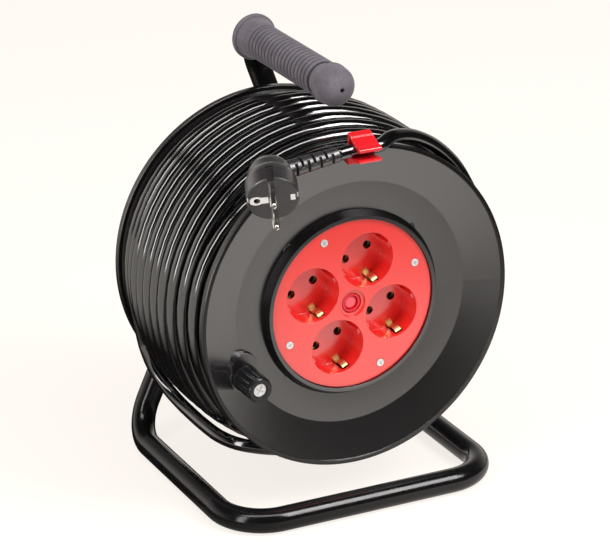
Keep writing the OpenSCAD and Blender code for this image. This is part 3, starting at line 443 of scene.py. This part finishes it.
# The left plate's outline on the plug's face, its round end outward, and its hole.
PLATE_OUTLINE = (
    (-3.0, -2.5), (-3.0, 2.5), (-7.6, 2.6), (-9.4, 3.3), (-12.4, 3.4), (-14.4, 2.6), (-15.5, 1.2),
    (-15.5, -1.2), (-14.4, -2.6), (-12.4, -3.4), (-9.4, -3.3), (-7.6, -2.6),
)
PLATE_HOLE_AT = -10.6
PLATE_HOLE_R = 2.2
HOLE_SIDES = 24
# The right plate and the strips down the sides: from, to and half of the width.
RIGHT_PLATE = (11.8, 15.0, 2.3)
SIDE_STRIP = (16.2, 17.1, 3.4)
STRIP_FRONT = 3.0
STRIP_BACK = 15.0


def in_plug(x, y, z):
    """A point in the plug: x across the earth plates, y along the row of pins, z inwards."""
    along = PLUG_WAY.cross(PLUG_SIDE)
    return place(*(PLUG_FACE + x * PLUG_SIDE + y * along + z * PLUG_WAY))


def inwards(length):
    """A way of some length into the plug."""
    return in_plug(0, 0, length) - in_plug(0, 0, 0)


def contact_pins():
    """Both pins, with rolled ends."""
    bm = bmesh.new()
    for side in (1, -1):
        turn(bm, PIN_OUTLINE, lambda r, z: in_plug(r, side * PIN_HALF, z), PIN_SIDES)
    return finish_piece("contact_pins", bm, "plug_pins", "drum", crisp=True)


def strip_corners(low, high, reach):
    """The corners of a strip across the plug's face."""
    return (low, -reach), (high, -reach), (high, reach), (low, reach)


def earth_plates():
    """The plug's earth plates on its face, and their strips down its sides."""
    bm = bmesh.new()
    edges = []
    turns = [2 * math.pi * k / HOLE_SIDES for k in range(HOLE_SIDES)]
    hole = [(PLATE_HOLE_AT + PLATE_HOLE_R * math.cos(a), PLATE_HOLE_R * math.sin(a)) for a in turns]
    for outline in (PLATE_OUTLINE, hole):
        corners = [bm.verts.new(in_plug(x, y, -PLATE_OUT)) for x, y in outline]
        edges += [bm.edges.new(pair) for pair in zip(corners, corners[1:] + corners[:1])]
    bmesh.ops.triangle_fill(bm, edges=edges, use_beauty=True)
    carry(bm, bmesh.ops.extrude_face_region(bm, geom=list(bm.faces)), inwards(PLATE_T))
    right = strip_corners(*RIGHT_PLATE)
    extrude(bm, [in_plug(x, y, -PLATE_OUT) for x, y in right], inwards(PLATE_T))
    for side in (1, -1):
        strip = strip_corners(*SIDE_STRIP)
        extrude(bm, [in_plug(side * x, y, STRIP_FRONT) for x, y in strip],
                inwards(STRIP_BACK - STRIP_FRONT))
    bevel(bm, METAL_EDGE)
    return finish_piece("earth_plates", bm, "plug_earth_contacts", "drum")


# ---------------------------------------------------------------- clip

# (depth, height) round the clip's end, from the foot of its web up and over the cord.
CLIP_PROFILE = (
    (-0.1, 118.5), (-0.1, 129.2), (-4.2, 127.6), (-5.0, 127.9), (-6.2, 126.7), (-13.6, 123.0),
    (-15.2, 123.3), (-18.3, 121.8), (-18.8, 120.2), (-17.4, 119.0), (-15.4, 119.6), (-13.4, 120.6),
    (-1.8, 126.0), (-1.8, 113.4), (-10.0, 113.5), (-16.6, 114.1), (-18.4, 113.3), (-18.2, 111.9),
    (-10.0, 111.9), (-1.8, 111.8), (-1.8, 106.2), (-0.1, 106.2), (3.2, 106.7), (0.7, 114.9),
    (-0.1, 114.9),
)
CLIP_EDGE = 0.35
PEG_W = 8.0
PEG_T = 3.0
PEG_HEIGHT = 110.0
PEG_FRONT = 0.4
PEG_BACK = 8.0


def cable_clip():
    """The clip on the front rim, with a ridge and a rolled lip on its upper arm, and its peg."""
    bm = bmesh.new()
    left = CLIP_POINT.x - CLIP_LEN / 2
    extrude(bm, [place(left, y, z) for y, z in CLIP_PROFILE], Vector((CLIP_LEN * MM, 0, 0)))
    left, right = CLIP_POINT.x - PEG_W / 2, CLIP_POINT.x + PEG_W / 2
    low, high = PEG_HEIGHT - PEG_T / 2, PEG_HEIGHT + PEG_T / 2
    corners = ((left, low), (right, low), (right, high), (left, high))
    extrude(bm, [place(x, PEG_FRONT, z) for x, z in corners],
            Vector((0, (PEG_BACK - PEG_FRONT) * MM, 0)))
    bevel(bm, CLIP_EDGE)
    return finish_piece("clip", bm, "cable_clip", "drum")


# ---------------------------------------------------------------- earth springs

OUTLET_HALF = 46.3 / 2
OUTLETS = (
    (OUTLET_HALF, OUTLET_HALF), (-OUTLET_HALF, OUTLET_HALF),
    (-OUTLET_HALF, -OUTLET_HALF), (OUTLET_HALF, -OUTLET_HALF),
)
SPRING_W = 4.6
SPRING_T = 0.72
SPRING_R = 20.3
# One arm of a spring and the leg behind it, as (depth, distance from the outlet's middle).
SPRING_ARM = (
    (10.8, 19.3), (12.2, 18.0), (14.1, 17.1), (18.0, 17.1), (20.0, 18.6), (21.6, 19.2),
    (23.4, 18.6), (23.9, 17.4), (23.9, 14.9),
)
SPRING_LEG = ((20.6, SPRING_R - 0.45), (28.0, SPRING_R - 0.45))
BRIDGE_DEPTH = 28.2


def bent_strip(bm, u, v, points):
    """A spring's strip along a bent line of (depth, distance from the outlet's middle)."""
    line = [bm.verts.new(on_panel(u - SPRING_W / 2, y, v + r)) for y, r in points]
    edges = [bm.edges.new(pair) for pair in zip(line, line[1:])]
    grown = bmesh.ops.extrude_edge_only(bm, edges=edges)
    carry(bm, grown, on_panel(SPRING_W, 0, 0) - on_panel(0, 0, 0))
    faces = [g for g in grown["geom"] if isinstance(g, bmesh.types.BMFace)]
    bmesh.ops.recalc_face_normals(bm, faces=faces)
    bmesh.ops.solidify(bm, geom=faces, thickness=SPRING_T * MM)


def earth_spring(number, u, v):
    """A brass spring with an arm at each side of an outlet, and its bridge behind the floor."""
    bm = bmesh.new()
    for side in (1, -1):
        bent_strip(bm, u, v, [(y, side * r) for y, r in SPRING_ARM])
        bent_strip(bm, u, v, [(y, side * r) for y, r in SPRING_LEG])
    bent_strip(bm, u, v, [(BRIDGE_DEPTH, -SPRING_R), (BRIDGE_DEPTH, SPRING_R)])
    bevel(bm, METAL_EDGE)
    return finish_piece(f"earth_spring_{number}", bm, f"earth_clip_{number}", "drum")


pins = contact_pins()
plates = earth_plates()

# Each new piece with its finish.
new_pieces = [(cord, "cord_rubber"), (cable_clip(), "clip_plastic"), (grip(), "grip_rubber"),
              (pins, "nickel"), (plates, "plated_brass")]
for number, (u, v) in enumerate(OUTLETS, 1):
    new_pieces.append((earth_spring(number, u, v), "brass"))

# ---------------------------------------------------------------- how finishes are made


def add_node(tree, kind, links=(), **values):
    """Adds a shader node; values set its properties or its inputs, links feed its inputs."""
    node = tree.nodes.new(kind)
    for key, value in values.items():
        if hasattr(node, key):
            setattr(node, key, value)
    for key, value in values.items():
        if not hasattr(node, key):
            node.inputs[key.replace("_", " ").title()].default_value = value
    for key, output in links:
        tree.links.new(output, node.inputs[key])
    return node


def combined(tree, operation, a, b):
    """Two patterns joined by a Math operation."""
    return add_node(tree, "ShaderNodeMath", [(0, a), (1, b)], operation=operation).outputs[0]


def object_coords(tree):
    """The piece's own coordinates, which are the frame's."""
    return add_node(tree, "ShaderNodeTexCoord").outputs["Object"]


def axis_part(tree, coords, axis):
    """One coordinate of a point."""
    return add_node(tree, "ShaderNodeSeparateXYZ", [("Vector", coords)]).outputs[axis]


def new_finish(name):
    """A material with its tree, its shader and the Object coordinates."""
    material = bpy.data.materials.new(name)
    material.use_nodes = True
    tree = material.node_tree
    return material, tree, tree.nodes["Principled BSDF"], object_coords(tree)


def noise(tree, coords, scale, detail=4.0, roughness=0.55, stretch=None):
    """A noise pattern, with scale in repeats to the metre."""
    if stretch:
        mapping = add_node(tree, "ShaderNodeMapping", [("Vector", coords)])
        mapping.inputs["Scale"].default_value = stretch
        coords = mapping.outputs["Vector"]
    return add_node(tree, "ShaderNodeTexNoise", [("Vector", coords)], scale=scale, detail=detail,
                    roughness=roughness).outputs["Fac"]


def spread(tree, value, low, high, from_low=0.3, from_high=0.7):
    """A pattern's range, laid over low to high; a noise keeps mostly within 0.3 to 0.7."""
    node = add_node(tree, "ShaderNodeMapRange", [("Value", value)])
    node.inputs["From Min"].default_value = from_low
    node.inputs["From Max"].default_value = from_high
    node.inputs["To Min"].default_value = low
    node.inputs["To Max"].default_value = high
    return node.outputs["Result"]


def mixed(tree, factor, a, b):
    """A colour between two, by a pattern."""
    node = tree.nodes.new("ShaderNodeMix")
    node.data_type = "RGBA"
    tree.links.new(factor, node.inputs["Factor"])
    for socket, value in (("A", a), ("B", b)):
        target = [i for i in node.inputs if i.name == socket and i.type == "RGBA"][0]
        if isinstance(value, tuple):
            target.default_value = value + (1.0,)
        else:
            tree.links.new(value, target)
    return [o for o in node.outputs if o.type == "RGBA"][0]


def scaled(colour, factor):
    """A colour made lighter or darker."""
    return tuple(min(c * factor, 1.0) for c in colour)


BEVEL_SAMPLES = 6


def relief(tree, shader, height, depth, rounding=0.0):
    """Bumps of a depth in metres, over edges that are rounded by a radius in metres."""
    bump = add_node(tree, "ShaderNodeBump", [("Height", height)])
    bump.inputs["Strength"].default_value = 1.0
    bump.inputs["Distance"].default_value = depth
    if rounding:
        rounded = tree.nodes.new("ShaderNodeBevel")
        rounded.samples = BEVEL_SAMPLES
        rounded.inputs["Radius"].default_value = rounding
        tree.links.new(rounded.outputs["Normal"], bump.inputs["Normal"])
    tree.links.new(bump.outputs["Normal"], shader.inputs["Normal"])


DEPTH_BLEND = 0.15


def past_depth(tree, coords, depth):
    """0 in front of a depth behind the front rim's plane, in millimetres, and 1 behind it."""
    at = HUB.y + depth * MM
    return spread(tree, axis_part(tree, coords, "Y"), 0.0, 1.0, at, at + DEPTH_BLEND * MM)


def axis_distance(tree, coords, height=0.0):
    """Distance from the drum's axis, or from a line above it."""
    flat = add_node(tree, "ShaderNodeMapping", [("Vector", coords)])
    flat.inputs["Scale"].default_value = (1.0, 0.0, 1.0)
    away = add_node(tree, "ShaderNodeVectorMath", [(0, flat.outputs["Vector"])],
                    operation="DISTANCE")
    away.inputs[1].default_value = (HUB.x, 0.0, HUB.z + height * MM)
    return away.outputs["Value"]


# ---------------------------------------------------------------- finishes

# Patterns, in repeats to the metre.
CLOUDS = 55.0
WEAR_MARKS = 320.0
WEAR_STRETCH = (1.0, 1.0, 0.35)
MOULD_GRAIN = 2600.0
TARNISH = 260.0
TOOL_MARKS = 1500.0

FINE_RELIEF = 0.000006
SMOOTH_RELIEF = 0.000002


def moulded(name, colour, roughness, depth=FINE_RELIEF, rounding=0.0005, level=0.5, ior=1.5,
            mottle=0.18, gloss_spread=0.05, deep=None):
    """Moulded plastic: faint clouding, uneven gloss, fine grain; deep is (depth, colour) behind."""
    material, tree, shader, coords = new_finish(name)
    clouds = noise(tree, coords, CLOUDS)
    tone = mixed(tree, clouds, scaled(colour, 1 - mottle), scaled(colour, 1 + mottle))
    if deep:
        tone = mixed(tree, past_depth(tree, coords, deep[0]), tone, deep[1])
    tree.links.new(tone, shader.inputs["Base Color"])
    marks = noise(tree, coords, WEAR_MARKS, detail=6.0, stretch=WEAR_STRETCH)
    tree.links.new(spread(tree, marks, roughness - gloss_spread, roughness + gloss_spread),
                   shader.inputs["Roughness"])
    shader.inputs["Specular IOR Level"].default_value = level
    shader.inputs["IOR"].default_value = ior
    relief(tree, shader, noise(tree, coords, MOULD_GRAIN, detail=2.0), depth, rounding)
    return material


TARNISH_DARK = 0.86
TARNISH_PALE = 1.06
METAL_GLOSS = (-0.04, 0.1)


def metal(name, colour, roughness, rounding=0.0002, metallic=1.0):
    """Bare or plated metal with faint tool marks."""
    material, tree, shader, coords = new_finish(name)
    shader.inputs["Metallic"].default_value = metallic
    tree.links.new(mixed(tree, noise(tree, coords, TARNISH), scaled(colour, TARNISH_DARK),
                         scaled(colour, TARNISH_PALE)), shader.inputs["Base Color"])
    marks = noise(tree, coords, TOOL_MARKS, detail=3.0, stretch=(1.0, 1.0, 1.0))
    smooth, dull = METAL_GLOSS
    tree.links.new(spread(tree, marks, roughness + smooth, roughness + dull),
                   shader.inputs["Roughness"])
    relief(tree, shader, marks, FINE_RELIEF, rounding)
    return material


ENAMEL_DARK = (0.004, 0.004, 0.0045)
ENAMEL_DUSTY = (0.008, 0.0075, 0.008)
ENAMEL_DUST = 90.0
ENAMEL_SPOTS = 180.0
ENAMEL_GLOSS = (0.12, 0.22)
ENAMEL_COAT = 0.05
ENAMEL_COAT_ROUGHNESS = 0.08
ORANGE_PEEL = 420.0
PEEL_DEPTH = 0.00003
TUBE_ROUNDING = 0.0006


def painted_tube():
    """Gloss black stove enamel with orange peel and a few dull spots."""
    material, tree, shader, coords = new_finish("frame_paint")
    dust = noise(tree, coords, ENAMEL_DUST)
    tree.links.new(mixed(tree, dust, ENAMEL_DARK, ENAMEL_DUSTY), shader.inputs["Base Color"])
    spots = noise(tree, coords, ENAMEL_SPOTS, detail=6.0)
    tree.links.new(spread(tree, spots, *ENAMEL_GLOSS), shader.inputs["Roughness"])
    shader.inputs["Coat Weight"].default_value = ENAMEL_COAT
    shader.inputs["Coat Roughness"].default_value = ENAMEL_COAT_ROUGHNESS
    peel = noise(tree, coords, ORANGE_PEEL, detail=2.0)
    relief(tree, shader, peel, PEEL_DEPTH, TUBE_ROUNDING)
    return material


RUBBER_GREY = (0.1, 0.086, 0.106)
RUBBER_BLOOM = (0.21, 0.19, 0.22)
# Painted shade: the dark colour laid into the grip's grooves.
GROOVE_SHADE = (0.03, 0.025, 0.032)
BLOOM_PATCHES = 70.0
BLOOM_SPECKLE = 1400.0
BLOOM_RANGE = (0.12, 0.42)
RUBBER_ROUGHNESS = 0.78
RUBBER_LEVEL = 0.35
RUBBER_SHEEN = 0.25
RUBBER_SHEEN_ROUGHNESS = 0.5
RUBBER_SKIN = 1700.0
SKIN_DEPTH = 0.00009
# Where a groove's painted shade begins and is full, inside the ribs' radius, and how far ahead of
# the ribs.
GROOVE_SHADE_FROM = 0.4
GROOVE_SHADE_TO = 1.5
GROOVE_SHADE_AHEAD = 0.5


def ribbed_rubber():
    """Matte grey rubber with pale bloom in patches, a coarse skin and painted shade in its grooves.
    """
    material, tree, shader, coords = new_finish("grip_rubber")
    patches = noise(tree, coords, BLOOM_PATCHES, detail=6.0, roughness=0.65)
    speckle = noise(tree, coords, BLOOM_SPECKLE, detail=3.0)
    bloom = spread(tree, combined(tree, "MULTIPLY", patches, speckle), 0.0, 1.0, *BLOOM_RANGE)
    skin = mixed(tree, bloom, RUBBER_GREY, RUBBER_BLOOM)
    # Painted shade: the grip's grooves, between the ribs and in front of the collar, are coloured
    # dark.
    r = axis_distance(tree, coords, GRIP_HEIGHT)
    hollow = spread(tree, r, 1.0, 0.0, (GRIP_R - GROOVE_SHADE_TO) * MM, (GRIP_R - GROOVE_SHADE_FROM) * MM)
    painted_groove_shade = combined(tree, "MULTIPLY", hollow, past_depth(tree, coords, RIBS_FROM - GROOVE_SHADE_AHEAD))
    tree.links.new(mixed(tree, painted_groove_shade, skin, GROOVE_SHADE), shader.inputs["Base Color"])
    shader.inputs["Roughness"].default_value = RUBBER_ROUGHNESS
    shader.inputs["Specular IOR Level"].default_value = RUBBER_LEVEL
    shader.inputs["Sheen Weight"].default_value = RUBBER_SHEEN
    shader.inputs["Sheen Roughness"].default_value = RUBBER_SHEEN_ROUGHNESS
    relief(tree, shader, noise(tree, coords, RUBBER_SKIN, detail=5.0), SKIN_DEPTH)
    return material


DRUM_BLACK = (0.006, 0.0048, 0.0051)
# The step from the flange up to the outlet panel, between two radii that each fade over a little.
STEP_R = 65.2
STEP_FADE_IN = (-0.4, 0.0)
STEP_FADE_OUT = (3.1, 3.5)
STEP_GLOSS = 0.12
# The rim's land and its gloss.
RIM_LAND = (3.4, 3.0)
RIM_GLOSS = 0.4


def drum_moulding():
    """Satin black plastic, duller on the step up to the outlet panel and on the rim."""
    material = moulded("drum_plastic", DRUM_BLACK, roughness=0.25, depth=SMOOTH_RELIEF, level=1.0,
                       ior=1.8, mottle=0.08, gloss_spread=0.012)
    tree = material.node_tree
    shader = tree.nodes["Principled BSDF"]
    r = axis_distance(tree, object_coords(tree))
    inside = spread(tree, r, 1.0, 0.0, *[(STEP_R + out) * MM for out in STEP_FADE_OUT])
    outside = spread(tree, r, 0.0, 1.0, *[(STEP_R + out) * MM for out in STEP_FADE_IN])
    step = spread(tree, combined(tree, "MULTIPLY", inside, outside), 1.0, STEP_GLOSS, 0.0, 1.0)
    rim = spread(tree, r, 1.0, RIM_GLOSS, *[(RIM_R - land) * MM for land in RIM_LAND])
    tree.links.new(combined(tree, "MULTIPLY", step, rim), shader.inputs["Specular IOR Level"])
    return material


SHEATH_BLACK = (0.002, 0.002, 0.0022)
SHEATH_SCUFFED = (0.004, 0.0035, 0.0038)
SHEATH_GLOSS = (0.1, 0.14)
SHEATH_IOR = 1.8
SHEATH_FLATS = (14.0, 3.0, 1.0)
SHEATH_SCUFFS = (6.0, 60.0, 1.0)
FLATS_DEPTH = 0.00001


def cord_jacket():
    """Glossy black sheath with the faint long flats of its extrusion."""
    material, tree, shader, coords = new_finish("cord_rubber")
    coords = add_node(tree, "ShaderNodeUVMap", uv_map="along").outputs["UV"]
    flats = noise(tree, coords, 1.0, detail=3.0, stretch=SHEATH_FLATS)
    scuffs = noise(tree, coords, 1.0, detail=5.0, stretch=SHEATH_SCUFFS)
    tree.links.new(mixed(tree, scuffs, SHEATH_BLACK, SHEATH_SCUFFED), shader.inputs["Base Color"])
    tree.links.new(spread(tree, scuffs, *SHEATH_GLOSS), shader.inputs["Roughness"])
    shader.inputs["Specular IOR Level"].default_value = 1.0
    shader.inputs["IOR"].default_value = SHEATH_IOR
    relief(tree, shader, flats, FLATS_DEPTH)
    return material


PANEL_RED = (0.88, 0.026, 0.02)
# Painted shade: the panel is coloured near black behind this depth, down the walls of its pin
# holes.
PIN_HOLE_SHADE = (0.05, 0.002, 0.003)
HOLES_BEHIND = 24.7
COLLAR_RED = (0.72, 0.004, 0.02)
CUTOUT_BLACK = (0.03, 0.03, 0.033)
CUTOUT_BEHIND = 20.0

MOULDINGS = {
    "nylon": dict(colour=(0.72, 0.68, 0.58), roughness=0.5),
    # The panel's deep colour is painted shade in its pin holes.
    "panel_plastic": dict(colour=PANEL_RED, roughness=0.2, level=1.0, ior=1.75, mottle=0.04,
                          gloss_spread=0.02, deep=(HOLES_BEHIND, PIN_HOLE_SHADE)),
    "collar_plastic": dict(colour=COLLAR_RED, roughness=0.3, level=0.8, mottle=0.05,
                           deep=(CUTOUT_BEHIND, CUTOUT_BLACK)),
    "button_plastic": dict(colour=(0.9, 0.1, 0.13), roughness=0.3, level=0.8, rounding=0.0006,
                           mottle=0.05),
    "inner_plastic": dict(colour=(0.03, 0.03, 0.033), roughness=0.5),
    "wire_brown": dict(colour=(0.22, 0.09, 0.04), roughness=0.4, rounding=0.0),
    "wire_blue": dict(colour=(0.04, 0.12, 0.5), roughness=0.4, rounding=0.0),
    "wire_green": dict(colour=(0.3, 0.45, 0.04), roughness=0.4, rounding=0.0),
    "knob_plastic": dict(colour=(0.012, 0.012, 0.014), roughness=0.16, rounding=0.0004),
    "clip_plastic": dict(colour=(0.84, 0.012, 0.02), roughness=0.2, depth=SMOOTH_RELIEF, level=1.0,
                         ior=1.75, rounding=0.0, mottle=0.05, gloss_spread=0.03),
    "plug_rubber": dict(colour=(0.024, 0.021, 0.023), roughness=0.34, level=1.0, ior=1.75),
}
METALS = {
    "zinc_steel": dict(colour=(0.74, 0.75, 0.78), roughness=0.3),
    "bright_steel": dict(colour=(0.94, 0.94, 0.95), roughness=0.2, metallic=0.5),
    "brass": dict(colour=(0.95, 0.78, 0.4), roughness=0.3),
    "nickel": dict(colour=(0.86, 0.84, 0.8), roughness=0.16),
    "plated_brass": dict(colour=(0.98, 0.96, 0.93), roughness=0.3, metallic=0.12),
}
finishes = {
    "frame_paint": painted_tube(),
    "grip_rubber": ribbed_rubber(),
    "drum_plastic": drum_moulding(),
    "cord_rubber": cord_jacket(),
}
finishes.update({name: moulded(name, **look) for name, look in MOULDINGS.items()})
finishes.update({name: metal(name, **look) for name, look in METALS.items()})


def dress(piece, finish):
    """Gives a piece its finish, in every one of its material slots."""
    if not piece.data.materials:
        piece.data.materials.append(finishes[finish])
    for i in range(len(piece.data.materials)):
        piece.data.materials[i] = finishes[finish]


for part in frame["record"]["subparts"]:
    dress(nodes[part["node"]], part["material_slot"])
dress(nodes["thermal_cutout"], "collar_plastic")
for piece, finish in new_pieces:
    dress(piece, finish)

# ---------------------------------------------------------------- floor and backdrop

PALE = (1.0, 0.947, 0.896)
FLOOR_SIZE = 12.0
# The floor's own brightness to the camera, and the share of true shade that it keeps.
FLOOR_GLOW = 1.18
SHADE_LEFT = 0.28
# What a reflection sees: the floor is bright near a spot at the reel's right front, fades to a
# dim rest between two distances from it, and has a bright band far on the left.
MIRROR_SPOT = (0.16, -0.24, 0.0)
MIRROR_FADE = (0.1, 0.36)
MIRROR_REST = 0.02
LEFT_BAND = 0.7
LEFT_BAND_FADE = (-0.34, -0.22)

# The dome's light, the backdrop's edges as directions, and how dim the room is ahead and above.
DOME_COLOUR = (1.0, 0.985, 0.97)
DOME_STRENGTH = 0.3
BACKDROP_FADE_BACK = (-0.1, 0.6)
BACKDROP_FADE_UP = (0.2, 0.6)
ROOM_AHEAD = 0.012
ROOM_ABOVE = 0.04


def seen_directly(tree):
    """1 for what the camera, a reflection or a clear body shows, otherwise 0."""
    path = tree.nodes.new("ShaderNodeLightPath")
    seen = path.outputs["Is Camera Ray"]
    for also in ("Is Glossy Ray", "Is Transmission Ray"):
        seen = combined(tree, "MAXIMUM", seen, path.outputs[also])
    return seen


def add_floor():
    """A pale table that keeps the reel's shadow; its mirror image fades away from the reel."""
    bm = bmesh.new()
    bmesh.ops.create_grid(bm, x_segments=1, y_segments=1, size=FLOOR_SIZE)
    mesh = bpy.data.meshes.new("floor")
    bm.to_mesh(mesh)
    bm.free()
    floor = add_piece("floor", mesh)
    material, tree, matte, coords = new_finish("floor")
    matte.inputs["Base Color"].default_value = PALE + (1.0,)
    matte.inputs["Roughness"].default_value = 1.0
    matte.inputs["Specular IOR Level"].default_value = 0.0
    camera_ray = tree.nodes.new("ShaderNodeLightPath").outputs["Is Camera Ray"]
    away = add_node(tree, "ShaderNodeVectorMath", [(0, coords)], operation="DISTANCE")
    away.inputs[1].default_value = MIRROR_SPOT
    near = spread(tree, away.outputs["Value"], 1.0, MIRROR_REST, *MIRROR_FADE)
    left = spread(tree, axis_part(tree, coords, "X"), LEFT_BAND, 0.0, *LEFT_BAND_FADE)
    mirrored = combined(tree, "MAXIMUM", near, left)
    to_camera = spread(tree, camera_ray, 0.0, FLOOR_GLOW, 0.0, 1.0)
    glow = add_node(tree, "ShaderNodeEmission",
                    [("Strength", combined(tree, "MAXIMUM", mirrored, to_camera))])
    glow.inputs["Color"].default_value = PALE + (1.0,)
    kept = spread(tree, camera_ray, 1.0, 1 - SHADE_LEFT, 0.0, 1.0)
    share = combined(tree, "MULTIPLY", seen_directly(tree), kept)
    both = add_node(tree, "ShaderNodeMixShader",
                    [("Fac", share), (1, matte.outputs[0]), (2, glow.outputs[0])])
    tree.links.new(both.outputs[0], tree.nodes["Material Output"].inputs["Surface"])
    floor.data.materials.append(material)


def add_world():
    """A soft dome; what shows directly is a pale backdrop, and a dim room ahead and above."""
    world = bpy.data.worlds.new("studio")
    bpy.context.scene.world = world
    world.use_nodes = True
    tree = world.node_tree
    tree.nodes.clear()
    direction = add_node(tree, "ShaderNodeTexCoord").outputs["Generated"]
    behind = spread(tree, axis_part(tree, direction, "Y"), ROOM_AHEAD, 1.0, *BACKDROP_FADE_BACK)
    low = spread(tree, axis_part(tree, direction, "Z"), 1.0, ROOM_ABOVE, *BACKDROP_FADE_UP)
    backdrop = combined(tree, "MULTIPLY", behind, low)
    camera_ray = tree.nodes.new("ShaderNodeLightPath").outputs["Is Camera Ray"]
    back = add_node(tree, "ShaderNodeBackground",
                    [("Strength", combined(tree, "MAXIMUM", camera_ray, backdrop))])
    back.inputs["Color"].default_value = PALE + (1.0,)
    dome = add_node(tree, "ShaderNodeBackground")
    dome.inputs["Color"].default_value = DOME_COLOUR + (1.0,)
    dome.inputs["Strength"].default_value = DOME_STRENGTH
    both = add_node(tree, "ShaderNodeMixShader",
                    [("Fac", seen_directly(tree)), (1, dome.outputs[0]), (2, back.outputs[0])])
    output = tree.nodes.new("ShaderNodeOutputWorld")
    tree.links.new(both.outputs[0], output.inputs["Surface"])


# ---------------------------------------------------------------- lamps

LAMP_COLOUR = (1.0, 0.98, 0.97)
LAMPS_FACE = Vector((0.0, 0.0, 0.15))
# Each softbox: where it stands, its width and height in metres, and its watts.
SOFTBOXES = {
    "left_strip": ((-1.55, -0.75, 0.75), 0.4, 1.6, 10.0),
    "top_strip": ((-0.2, -0.7, 1.75), 2.2, 0.4, 14.0),
    "key": ((0.86, -1.22, 1.44), 0.7, 0.9, 21.0),
}


def add_softbox(name, at, width, height, watts):
    """A rectangular studio lamp that faces the reel."""
    data = bpy.data.lights.new(name, "AREA")
    data.shape = "RECTANGLE"
    data.size = width
    data.size_y = height
    data.energy = watts
    data.color = LAMP_COLOUR
    lamp = bpy.data.objects.new(name, data)
    lamp.location = at
    lamp.rotation_euler = (LAMPS_FACE - Vector(at)).to_track_quat("-Z", "Y").to_euler()
    bpy.context.scene.collection.objects.link(lamp)


add_floor()
add_world()
for name, lamp in SOFTBOXES.items():
    add_softbox(name, *lamp)
bpy.context.scene.view_settings.view_transform = "Standard"
